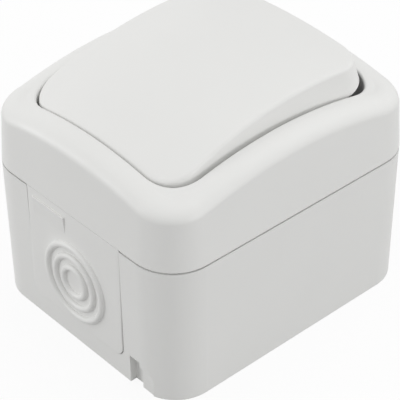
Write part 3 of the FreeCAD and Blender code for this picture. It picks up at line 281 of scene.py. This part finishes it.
# %% The finishes and their pieces
FINISHES = {
    "white_plastic": finish("white_plastic", (0.80, 0.80, 0.785), (0.40, 0.50), depth=0.02),
    "grey_rubber": finish("grey_rubber", (0.09, 0.09, 0.095), (0.75, 0.9), grain=0.35, grain_depth=0.01),
    "mechanism_plastic": finish("mechanism_plastic", (0.47, 0.46, 0.42), (0.45, 0.6), grain=0.3),
    "dark_plastic": finish("dark_plastic", (0.035, 0.035, 0.038), (0.35, 0.5), grain=0.3),
    "spring_steel": finish("spring_steel", (0.55, 0.55, 0.56), (0.25, 0.35), metallic=1.0,
                           grain_depth=0.001),
    "zinc_steel": finish("zinc_steel", (0.62, 0.64, 0.66), (0.3, 0.45), metallic=1.0, grain=0.15,
                         grain_depth=0.002, depth=0.12),
    "terminal_steel": finish("terminal_steel", (0.52, 0.53, 0.52), (0.35, 0.5), metallic=1.0, grain=0.2,
                             grain_depth=0.002, depth=0.15, stretch=(1, 1, 6)),
    "contact_brass": finish("contact_brass", (0.62, 0.42, 0.16), (0.3, 0.45), metallic=1.0, grain=0.15,
                            grain_depth=0.002, depth=0.12, stretch=(1, 6, 1)),
    "silver_contact": finish("silver_contact", (0.75, 0.74, 0.72), (0.25, 0.4), metallic=1.0,
                             grain_depth=0.001),
}
SLOT_OF = {piece["node"]: piece["material_slot"] for piece in frame["record"]["subparts"]}
for node, obj in frame["nodes"].items():
    for material_slot in obj.material_slots:
        material_slot.material = FINISHES[SLOT_OF[node]]
print("finishes:", len(FINISHES))

# %% [markdown]
# ## Moulded surfaces from stations
# Each moulded piece is a stack of closed outlines, called stations here, joined point to point.
# Mesh booleans would leave slivers along the soft edges. Stations keep the faces in rows that
# follow the form, so light runs over an edge without a flaw, and every edge can be as round as
# the mould made it.

# %% Outlines in the plane and in space
ARC_POINTS, SIDE_POINTS = 13, 30
QUARTER = math.pi / 2


def outline(half_x, half_y, radius):
    """A rounded rectangle, counter-clockwise. Each corner is an arc, centre + radius (cos t,
    sin t), each side the straight line between two arcs, and every size has the same count.
    The radius is one for all corners, or one for each."""
    radii = np.broadcast_to(radius, 4)[:, None]
    angles = np.linspace(0, QUARTER, ARC_POINTS) + np.arange(4)[:, None] * QUARTER
    corners = np.array([(1, 1), (-1, 1), (-1, -1), (1, -1)]) * (np.array([half_x, half_y]) - radii)
    arcs = corners[:, None] + radii[:, None] * np.stack([np.cos(angles), np.sin(angles)], -1)
    ends, starts = arcs[:, -1:], np.roll(arcs[:, :1], -1, axis=0)
    share = np.linspace(0, 1, SIDE_POINTS + 2)[1:-1, None]
    return np.concatenate([arcs, ends + (starts - ends) * share], axis=1).reshape(-1, 2)


def circle_like(flat, radius):
    """The outline's points drawn in or out along their own rays to a circle of that radius."""
    return flat * (radius / np.linalg.norm(flat, axis=1, keepdims=True))


def lift(flat, height):
    """An outline in space: x and y as drawn, z one height for all or one for each point."""
    return np.column_stack([flat, np.broadcast_to(height, len(flat))])


def between(first, last, count):
    """count stations evenly spaced from first to last, without first itself:
    first + (last - first) k / count."""
    share = np.arange(1, count + 1)[:, None, None] / count
    return list(first + (last - first) * share)


def quarter_turn(count):
    """Sines and cosines of count angles from 0 to a quarter turn, both ends in."""
    angles = np.linspace(0, QUARTER, count)
    return np.column_stack([np.sin(angles), np.cos(angles)])


print("points in an outline:", len(outline(2, 2, 1)))

# %% [markdown]
# A skin joins the stations into faces. Either it runs back into its first station, like the tube
# of a ring, or both its ends are closed by a fan, so that every piece is closed, as a real
# moulding is. Several skins that only pass into each other a little make one moulding.

# %% Skins and whole mouldings
SHARP_ANGLE = math.radians(40)


def outward(points, triangles):
    """Whether the faces point outwards: the sum of a . (b x c) over all triangles is positive."""
    a, b, c = (points[triangles[:, k]] for k in range(3))
    return np.einsum("ij,ij->", a, np.cross(b, c)) > 0


def skin(stations, loop=False):
    """Four-sided faces between neighbouring stations. A loop joins the last station to the
    first; otherwise each end closes in a fan round its mean point."""
    grid = np.array(stations)
    rows, count = grid.shape[:2]
    index = np.arange(rows * count).reshape(rows, count)
    low, high = (index, np.roll(index, -1, axis=0)) if loop else (index[:-1], index[1:])
    quads = np.stack([low, np.roll(low, -1, axis=1), np.roll(high, -1, axis=1), high], -1).reshape(-1, 4)
    points = grid.reshape(-1, 3)
    fans = np.empty((0, 3), int)
    if not loop:
        poles = len(points) + np.array([[0], [1]])
        points = np.concatenate([points, grid[[0, -1]].mean(axis=1)])
        rims = np.stack([np.roll(index[0], -1), index[-1]]), np.stack([index[0], np.roll(index[-1], -1)])
        fans = np.stack([rims[0], rims[1], np.broadcast_to(poles, rims[0].shape)], -1).reshape(-1, 3)
    triangles = np.concatenate([quads[:, :3], quads[:, [0, 2, 3]], fans])
    if not outward(points, triangles):
        quads, fans = quads[:, ::-1], fans[:, ::-1]
    return points, quads.tolist() + fans.tolist()


def moulding(name, parts, slot, body, node):
    """One object from closed skins given in millimetres, smooth but for its sharp edges, which
    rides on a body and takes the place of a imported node."""
    points, faces, start = [], [], 0
    for part_points, part_faces in parts:
        points.append(part_points * MM)
        faces += [[start + corner for corner in face] for face in part_faces]
        start += len(part_points)
    mesh = bpy.data.meshes.new(name)
    mesh.from_pydata(np.concatenate(points), [], faces)
    mesh.shade_smooth()
    mesh.set_sharp_from_angle(angle=SHARP_ANGLE)
    mesh.materials.append(FINISHES[slot])
    made = bpy.data.objects.new(name, mesh)
    bpy.context.scene.collection.objects.link(made)
    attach(made, body)
    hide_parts(node)
    print(name, "faces:", len(faces))


def prism(profile, axis, low, high):
    """A flat profile carried straight along an axis: 0 for x, 1 for y, 2 for z."""
    return skin([np.insert(profile, axis, place, axis=1) for place in (low, high)])


def round_profile(centre, radius, count=40):
    """A circle: centre + radius (cos t, sin t)."""
    angles = np.arange(count) * 2 * math.pi / count
    return centre + radius * np.column_stack([np.cos(angles), np.sin(angles)])


# %% [markdown]
# ## The cover
# The cover is one moulding: a crowned frame round the rocker, a tub that sinks to a deck under
# it, and a thin outer lip that drops over the box. Each side of its top is a shallow arch, and
# the arches meet at the corners in a soft hip. All of that is one loop of stations: up the outer
# wall, over the top, down the opening, under the deck and back. A thin shadow gap along the
# lower edge marks the joint with the box.

# %% Cover sizes
HALF_WIDTH, HALF_LENGTH, CORNER = 33.0, 38.75, 10.7
JOINT, WALL, LIP_WALL = 36.8, 2.4, 1.2
CREST_LONG, FALL_LONG, CREST_SHORT, FALL_SHORT, HIP_SOFTNESS = 57.0, 7.1, 55.7, 5.2, 0.8
CORNER_FALL, CORNER_POWER = 3.0, 3
OPENING = (26.0, 31.6, 8.6)
PILLOW_ACROSS, PILLOW_DOWN, DRAFT, OPENING_ROUND, DECK_ROUND = 6.4, 3.8, 0.8, 0.6, 0.6
DECK_TOP, DECK_UNDER, STEM_HOLE, TUB_WALL = 42.0, 39.8, 6.6, 2.0
SHADOW_DEPTH, SHADOW_HEIGHT, SOFT_EDGE = 1.0, 0.45, 0.05
PIVOT = 46.0
WALL_STEPS, PILLOW_POINTS, TOP_STEPS, EDGE_POINTS, FOOT_POINTS = 4, 20, 6, 6, 5


def plan(inset):
    """The switch's outline from the front, set in."""
    return outline(HALF_WIDTH - inset, HALF_LENGTH - inset, CORNER - inset)


def mouth(offset):
    """The outline of the cover's opening, set out."""
    return outline(*(size + offset for size in OPENING))


def crest(flat):
    """Height of the crowned top: a - b v along the long sides and c - d u along the short ones,
    where u and v are the squares of x and y over the half width and half length, joined by the
    soft maximum s ln(e^(p / s) + e^(q / s)) and lowered at the corners by k (u v)^n."""
    across, along = (flat / (HALF_WIDTH, HALF_LENGTH)).T ** 2
    long_side, short_side = CREST_LONG - FALL_LONG * along, CREST_SHORT - FALL_SHORT * across
    hip = HIP_SOFTNESS * np.logaddexp(long_side / HIP_SOFTNESS, short_side / HIP_SOFTNESS)
    return hip - CORNER_FALL * (across * along) ** CORNER_POWER


middle_height, side_height = crest(np.array([(0, 0), (HALF_WIDTH, 0)]))
print("crest in the middle and at a side:", round(middle_height, 2), round(side_height, 2), "mm")

# %% [markdown]
# The frame's outer edge isn't a small round but a soft pillow over its whole width, and the wall
# below it leans in a little, as a mould's draft asks. A bevel would keep one radius all round.
# A quarter of an ellipse whose height is taken from the crest follows the arches instead.

# %% The frame
def outer_wall():
    """From the joint up to where the top edge starts to turn: a shadow gap, then a plain wall
    that leans in by its draft."""
    gap_top = JOINT + SHADOW_HEIGHT
    stations = [lift(plan(SHADOW_DEPTH), JOINT), lift(plan(SHADOW_DEPTH), gap_top),
                lift(plan(SOFT_EDGE), gap_top), lift(plan(0), gap_top + SOFT_EDGE)]
    turn_start = lift(plan(DRAFT), crest(plan(PILLOW_ACROSS)) - PILLOW_DOWN)
    return stations + between(stations[-1], turn_start, WALL_STEPS)


def top_edge():
    """A quarter of an ellipse over the frame's whole width, a soft pillow: inset draft +
    a (1 - cos t) and height crest - b (1 - sin t)."""
    height, across = crest(plan(PILLOW_ACROSS)), PILLOW_ACROSS - DRAFT
    return [lift(plan(DRAFT + across * (1 - cosine)), height - PILLOW_DOWN * (1 - sine))
            for sine, cosine in quarter_turn(PILLOW_POINTS)[1:]]


def crowned_top():
    """From the outer edge to the opening's edge, every station set on the crest."""
    flats = between(plan(PILLOW_ACROSS), mouth(OPENING_ROUND), TOP_STEPS)
    return [lift(flat, crest(flat)) for flat in flats]


def opening_wall():
    """Over the opening's small edge, down its wall, and round onto the deck."""
    height = crest(mouth(OPENING_ROUND))
    edge = [lift(mouth(OPENING_ROUND * (1 - sine)), height - OPENING_ROUND * (1 - cosine))
            for sine, cosine in quarter_turn(EDGE_POINTS)[1:]]
    wall = between(edge[-1], lift(mouth(0), DECK_TOP + DECK_ROUND), WALL_STEPS)
    foot = [lift(mouth(-DECK_ROUND * (1 - cosine)), DECK_TOP + DECK_ROUND * (1 - sine))
            for sine, cosine in quarter_turn(FOOT_POINTS)[1:]]
    return edge + wall + foot


def deck_and_hollow():
    """Across the deck to the stem's hole, back below it, and up into the hollow frame."""
    inner = mouth(-DECK_ROUND)
    hole = circle_like(inner, STEM_HOLE)
    tub = mouth(TUB_WALL)
    above = between(lift(inner, DECK_TOP), lift(hole, DECK_TOP), WALL_STEPS)
    below = between(lift(hole, DECK_UNDER), lift(tub, DECK_UNDER), WALL_STEPS)
    hollow = [lift(tub, crest(tub) - WALL), lift(plan(WALL), crest(plan(WALL)) - WALL),
              lift(plan(WALL), DECK_UNDER), lift(plan(LIP_WALL), DECK_UNDER), lift(plan(LIP_WALL), JOINT)]
    return above + [lift(hole, DECK_UNDER)] + below + hollow


outside = outer_wall() + top_edge() + crowned_top()
frame_skin = skin(outside + opening_wall() + deck_and_hollow(), loop=True)
print("cover's frame faces:", len(frame_skin[1]))

# %% [markdown]
# Two posts stand on the deck and carry the rocker's pins, and two bosses below it take the
# screws. They are short plain solids that reach a little into the deck, as a rib does in a mould.

# %% Posts, bosses and the whole cover
POST_OUTER, POST_THICKNESS, POST_HALF, BORE = 20.1, 3.0, 4.0, 2.06
COVER_SCREW, BOSS_RADIUS, PILOT = np.array([17.0, 25.0]), 3.4, 1.5
BURIED, HEAD_POINTS = 0.5, 25


def pivot_post(side):
    """A foot with a round head, bored: a loop through the profile and the bore, at both faces.
    The bore's points lie on the same rays as the profile's."""
    head = np.linspace(0, math.pi, HEAD_POINTS)
    foot = np.array([(across, DECK_TOP - BURIED - PIVOT) for across in (-POST_HALF, 0, POST_HALF)])
    profile = np.concatenate([POST_HALF * np.column_stack([np.cos(head), np.sin(head)]), foot])
    bore = circle_like(profile, BORE)
    faces = side * (POST_OUTER - POST_THICKNESS), side * POST_OUTER
    rings = [(profile, faces[0]), (profile, faces[1]), (bore, faces[1]), (bore, faces[0])]
    return skin([np.insert(ring + (0, PIVOT), 0, place, axis=1) for ring, place in rings], loop=True)


def screw_boss(side):
    """A tube from the joint up into the deck."""
    outer, inner = (round_profile(side * COVER_SCREW, radius) for radius in (BOSS_RADIUS, PILOT))
    top = DECK_UNDER + BURIED
    return skin([lift(outer, JOINT), lift(outer, top), lift(inner, top), lift(inner, JOINT)], loop=True)


posts_and_bosses = [make(side) for make in (pivot_post, screw_boss) for side in (-1, 1)]
moulding("cover_shell", [frame_skin] + posts_and_bosses, "white_plastic", "housing", "front_cover")

# %% [markdown]
# ## The rocker
# The wide rocker is a shallow cap. Its walls lean in a little, so that it clears the opening as
# it tilts, and its top is bowed both ways: an arc across, swung about a line along X. It is
# worked out level about its own pivot and then turned by half its throw, as it rests in the
# photograph. Where wall and top meet, the true corner is found first, and an arc is set into it.

# %% Rocker sizes and its bowed top
SKIRT, LEAN = (25.55, 31.1, 8.2), np.array([0.095, 0.17])
APEX, SKIRT_BOTTOM, SKIN = 17.88, 5.4, 1.8
BOW_X, BOW_Y = 125.0, 96.0
HALF_THROW = math.radians(7.2)
TRIALS = 12


def bow(flat, inset=0.0):
    """Height of the bowed top, set in: with reach = R - r + sqrt(r^2 - x^2), the height is
    apex - R0 + sqrt(reach^2 - y^2), where R and r are the two radii less the inset."""
    reach = BOW_Y - BOW_X + np.sqrt((BOW_X - inset) ** 2 - flat[:, 0] ** 2)
    return APEX - BOW_Y + np.sqrt(reach ** 2 - flat[:, 1] ** 2)


def skirt(height, inset=0.0):
    """The wall's outline at a height above the pivot: each corner moves in by lean x rise."""
    corners = outline(1, 1, 0)
    rise = np.broadcast_to(height - SKIRT_BOTTOM, len(corners))[:, None]
    return outline(*(size - inset for size in SKIRT)) - rise * LEAN * corners


def wall_top(inset=0.0):
    """Height at which the leaning wall meets the bow, by repeated trial."""
    height = np.full(len(skirt(0.0)), SKIRT_BOTTOM)
    for trial in range(TRIALS):
        height = bow(skirt(height, inset), inset)
    return height


print("rocker's wall meets its top at", wall_top().min().round(2), "to", wall_top().max().round(2), "mm")

# %% [markdown]
# The wall and the bow meet at another angle at each point of the outline. So the arc between
# them is worked out point by point, from the two directions that leave the corner, and it
# touches both. The inside is the same form set in by the thickness of the plastic.

# %% Rocker's edge and shell
ROCKER_EDGE, EDGE_STATIONS, TOP_STATIONS, ROOF_STATIONS = 1.2, 9, 26, 8
A_LITTLE_IN = 0.99


def unit(vectors):
    """Each vector over its own length."""
    return vectors / np.linalg.norm(vectors, axis=-1, keepdims=True)


def rounded_corner(corner, down, inwards, radius, count):
    """An arc set into the corner between two directions at an angle b: its centre is on their
    half-line at r / sin(b / 2), and its points run from one touching point to the other."""
    half_line = unit(down + inwards)
    half_angle = np.arccos(np.clip(np.sum(down * inwards, axis=1, keepdims=True), -1, 1)) / 2
    centre = corner + half_line * radius / np.sin(half_angle)
    first, last = (unit(corner + way * radius / np.tan(half_angle) - centre) for way in (down, inwards))
    sweep = math.pi - 2 * half_angle
    shares = np.linspace(0, 1, count)
    return [centre + radius * (np.sin((1 - u) * sweep) * first + np.sin(u * sweep) * last) / np.sin(sweep)
            for u in shares]


def rocker_edge():
    """Stations round the top edge, from the wall to the bow."""
    height = wall_top()
    corner = lift(skirt(height), height)
    down = unit(lift(skirt(SKIRT_BOTTOM), SKIRT_BOTTOM) - corner)
    inner = skirt(height) * A_LITTLE_IN
    inwards = unit(lift(inner, bow(inner)) - corner)
    return rounded_corner(corner, down, inwards, ROCKER_EDGE, EDGE_STATIONS)


def bowed_stations(rim, count, inset=0.0):
    """Stations on the bow that shrink from a rim towards the middle."""
    shares = np.linspace(1, 0, count + 1)[1:-1]
    return [lift(rim * share, bow(rim * share, inset)) for share in shares]


def rocker_shell():
    """Top, edge, skirt, lower rim, and the inside back up to the roof."""
    edge = rocker_edge()
    outside = [lift(skirt(SKIRT_BOTTOM + SOFT_EDGE), SKIRT_BOTTOM + SOFT_EDGE)]
    outside += between(outside[0], edge[0], WALL_STEPS) + edge[1:]
    outside += bowed_stations(edge[-1][:, :2], TOP_STATIONS)
    rim = [lift(skirt(SKIRT_BOTTOM, inset), SKIRT_BOTTOM) for inset in (SOFT_EDGE, SKIN)]
    height = wall_top(SKIN)
    inside = between(rim[-1], lift(skirt(height, SKIN), height), WALL_STEPS - 1)
    inside += bowed_stations(skirt(height, SKIN), ROOF_STATIONS, SKIN)
    return skin(outside[::-1] + rim + inside)


shell = rocker_shell()
print("rocker's shell faces:", len(shell[1]))

# %% [markdown]
# Below the roof are an ear at each side with an inward pin, and a stem that ends in a blade with
# a round tip, which works the mechanism.

# %% Ears, pins, stem and the whole rocker
EAR_INNER, EAR_THICKNESS, EAR_HALF, EAR_TOP, PIN, PIN_INNER = 20.3, 2.2, 3.0, 14.5, 2.0, 17.4
STEM, STEM_TOP, STEM_END = 2.5, 16.7, 7.0
TIP_DROP, TIP, NECK, BLADE_X, BLADE_Y = 10.0, 1.5, 1.0, 4.0, 2.0
HALF_ROUND_POINTS, TIP_POINTS = 21, 31


def ear(side):
    """An upright tab with a half-round lower end, and its pin."""
    angles = np.linspace(-math.pi, 0, HALF_ROUND_POINTS)
    profile = np.concatenate([EAR_HALF * np.column_stack([np.cos(angles), np.sin(angles)]),
                              [(EAR_HALF, EAR_TOP), (-EAR_HALF, EAR_TOP)]])
    tab = prism(profile, 0, side * EAR_INNER, side * (EAR_INNER + EAR_THICKNESS))
    pin = prism(round_profile(np.zeros(2), PIN), 0, side * PIN_INNER, side * (EAR_INNER + BURIED))
    return [tab, pin]


def stem():
    """A round stem and its blade, whose lower end is an arc between its two shoulders."""
    shaft = prism(round_profile(np.zeros(2), STEM), 2, -STEM_END, STEM_TOP)
    half = math.asin(NECK / TIP)
    angles = np.linspace(QUARTER + half, 2 * math.pi + QUARTER - half, TIP_POINTS)
    tip = TIP * np.column_stack([np.cos(angles), np.sin(angles)]) - (0, TIP_DROP)
    upper = [(BLADE_Y, -STEM_END), (BLADE_Y, BURIED - STEM_END),
             (-BLADE_Y, BURIED - STEM_END), (-BLADE_Y, -STEM_END)]
    blade = prism(np.concatenate([tip, upper]), 0, -BLADE_X, BLADE_X)
    return [shaft, blade]


def at_rest(part):
    """Turned about X by half the throw, and set on the pivot."""
    points, faces = part
    sine, cosine = math.sin(HALF_THROW), math.cos(HALF_THROW)
    turn = np.array([(1, 0, 0), (0, cosine, -sine), (0, sine, cosine)])
    return points @ turn.T + (0, 0, PIVOT), faces


rocker_parts = [at_rest(part) for part in [shell] + ear(1) + ear(-1) + stem()]
moulding("rocker_cap", rocker_parts, "white_plastic", "rocker", "rocker")

# %% [markdown]
# ## The cable entry plates
# At each end a separate plate slides into a slot in the box's wall. A cable's hole is cut or
# broken out along one of its rings, so the plastic there is only a thin rippled skin. The whole
# plate is again one stack of stations, but with the stations drawn from the rings' middle
# outwards: disc, rings, flat face, edge, the groove that grips the box's wall, and back over the
# inner side to the thin skin.

# %% Plate sizes and ring profile
PLATE_HALF, PLATE_BOTTOM, PLATE_CORNER = 16.3, 5.7, 3.0
PLAY, TOP_PLAY = 0.1, 0.03
FLANGE, PLATE_INNER, WEB_INSET = 1.2, HALF_LENGTH - WALL - PLAY, 1.7
PLATE_TOP, LIP_BACK = JOINT + SHADOW_HEIGHT - TOP_PLAY, HALF_LENGTH - SHADOW_DEPTH + PLAY
PROUD_LOW, CLOSED, CLOSED_MIDDLE, CLOSED_SPAN = 0.12, 0.14, 18.0, 6.0
RING_HEIGHT, RING_MIDDLE, RING_PITCH, RING_COUNT = 18.3, 3.0, 2.95, 3
RING_WIDTH, RING_RISE, RINGS_END, RING_POINTS = 1.75, 0.95, 11.54, 17
PLATE_EDGE, PLATE_EDGE_POINTS, FACE_STEPS, UPPER_CORNER = 0.15, 4, 6, 0.3
TONGUE_DOWN, TONGUE_UP = 1, 2


def ring_profile():
    """Radius and height off the face, from the flat middle outwards. Each ring is the arc that
    rises by d over half its width w, so with bend b = (w^2 / 4 + d^2) / 2 d its height is
    sqrt(b^2 - s^2) - b + d, at s from its own middle. Between two rings the face is flat."""
    bend = (RING_WIDTH ** 2 / 4 + RING_RISE ** 2) / (2 * RING_RISE)
    s = np.sin(np.linspace(-QUARTER, QUARTER, RING_POINTS)) * RING_WIDTH / 2
    radii = RING_MIDDLE + np.arange(RING_COUNT)[:, None] * RING_PITCH + RING_WIDTH / 2 + s
    heights = np.broadcast_to(np.sqrt(bend ** 2 - s ** 2) - bend + RING_RISE, radii.shape)
    return np.column_stack([radii.ravel(), heights.ravel()])


def plate_outline(inset, top=JOINT):
    """The plate's flange about the rings' middle, set in at its sides and lower edge. In its slot
    the gap closes upwards on one side and downwards on the other: x moves by
    c (tanh((z - m) / s) + x / half width) / 2."""
    half, low, lower = PLATE_HALF - inset, PLATE_BOTTOM + inset, PLATE_CORNER - inset / 2
    flat = outline(half, (top - low) / 2, (UPPER_CORNER, UPPER_CORNER, lower, lower))
    flat = flat + (0, (top + low) / 2 - RING_HEIGHT)
    upwards = np.tanh((flat[:, 1] + RING_HEIGHT - CLOSED_MIDDLE) / CLOSED_SPAN)
    moved = CLOSED * (upwards + flat[:, 0] / PLATE_HALF) / 2
    return np.column_stack([flat[:, 0] + moved, flat[:, 1]])


def plate_face(flat):
    """How far the plate's face lies out: proud at its lower edge, flush with the cover at the top."""
    share = (flat[:, 1] + RING_HEIGHT - PLATE_BOTTOM) / (PLATE_TOP - PLATE_BOTTOM)
    return HALF_LENGTH + PROUD_LOW * (1 - share)


def stand_up(flat, depth):
    """A plate's outline in space: across is x, up is z, and depth is how far it lies towards -Y."""
    return np.column_stack([flat[:, 0], np.broadcast_to(-depth, len(flat)), flat[:, 1] + RING_HEIGHT])


print("rings across:", round(2 * ring_profile()[-1, 0], 2), "mm")

# %% [markdown]
# The rings are round, and the plate's edge is a rounded rectangle. Its outline has the same
# points at every size, so a ring is that outline drawn in to a circle along its own rays, and
# the flat face between the last ring and the edge needs no seam.

# %% One plate
def rippled_face():
    """Flat middle, rings and flat face, with the small edge round the plate."""
    rim = plate_outline(PLATE_EDGE, PLATE_TOP)
    turns = [(RING_MIDDLE / 2, 0.0), *ring_profile(), (RINGS_END, 0.0)]
    circles = [(circle_like(rim, radius), height) for radius, height in turns]
    stations = [stand_up(flat, plate_face(flat) + height) for flat, height in circles]
    stations += between(stations[-1], stand_up(rim, plate_face(rim)), FACE_STEPS)
    for sine, cosine in quarter_turn(PLATE_EDGE_POINTS)[1:]:
        flat = plate_outline(PLATE_EDGE * (1 - sine), PLATE_TOP)
        stations.append(stand_up(flat, plate_face(flat) - PLATE_EDGE * (1 - cosine)))
    return stations


def plate_back():
    """The thin lip in the shadow gap, the flange's back, the web through the wall, the inner
    flange, and the pocket behind the rings that leaves their skin thin."""
    lipped, rim, web = plate_outline(0, PLATE_TOP), plate_outline(0), plate_outline(WEB_INSET)
    pocket = circle_like(rim, RINGS_END)
    flange_back, inner_back = HALF_LENGTH + PROUD_LOW - FLANGE, PLATE_INNER - FLANGE
    return [stand_up(lipped, LIP_BACK), stand_up(rim, LIP_BACK), stand_up(rim, flange_back),
            stand_up(web, flange_back), stand_up(web, PLATE_INNER), stand_up(rim, PLATE_INNER),
            stand_up(rim, inner_back), stand_up(pocket, inner_back), stand_up(pocket, flange_back)]


def tongue_piece():
    """The plate's share of the box's tongue, under the cover's lip."""
    half, low, high = PLATE_HALF - WEB_INSET, JOINT - TONGUE_DOWN, JOINT + TONGUE_UP
    profile = np.array([(-half, low), (half, low), (half, high), (-half, high)])
    return prism(profile, 1, LIP_WALL + PLAY - HALF_LENGTH, WALL - HALF_LENGTH)


plate_skin = skin(rippled_face() + plate_back())
print("plate's faces:", len(plate_skin[1]))

# %% [markdown]
# Near one upper corner of each plate is a thumb grip, a low wedge that is proud at its upper edge
# and fades out downwards. Its height over the plate is a plane, and its edge is rounded by
# stations that draw in as they rise.

# %% Thumb grip and the two plates
GRIP_LEFT, GRIP_RIGHT, GRIP_TOP, GRIP_BOTTOM = -14.2, -2.7, 35.2, 30.5
GRIP_PROUD, GRIP_EDGE, GRIP_ROOT = 0.45, 0.12, 1.0


def grip():
    """Over the plate by proud (z - bottom) / height, with a quarter round along the edge."""
    middle = np.array([(GRIP_LEFT + GRIP_RIGHT) / 2, (GRIP_TOP + GRIP_BOTTOM) / 2 - RING_HEIGHT])
    half_across, half_up = (GRIP_RIGHT - GRIP_LEFT) / 2, (GRIP_TOP - GRIP_BOTTOM) / 2

    def station(inset, lowered):
        flat = outline(half_across - inset, half_up - inset, 2 * GRIP_EDGE - inset) + middle
        rise = GRIP_PROUD * (flat[:, 1] + RING_HEIGHT - GRIP_BOTTOM) / (2 * half_up)
        return stand_up(flat, plate_face(flat) + rise - lowered)

    edge = [station(GRIP_EDGE * (1 - cosine), GRIP_EDGE * (1 - sine))
            for sine, cosine in quarter_turn(EDGE_POINTS - 1)]
    return skin([station(0, GRIP_ROOT)] + edge + [station(1.5 * GRIP_EDGE, 0)])


def half_turn(part):
    """Turned half round the upright axis, onto the other end."""
    points, faces = part
    return points * (-1, -1, 1), faces


plate_parts = [plate_skin, tongue_piece(), grip()]
turned_parts = [half_turn(part) for part in plate_parts]
moulding("entry_plate", plate_parts, "white_plastic", "housing", "cable_entry_plate")
moulding("entry_plate_upper", turned_parts, "white_plastic", "housing", "cable_entry_plate_upper")
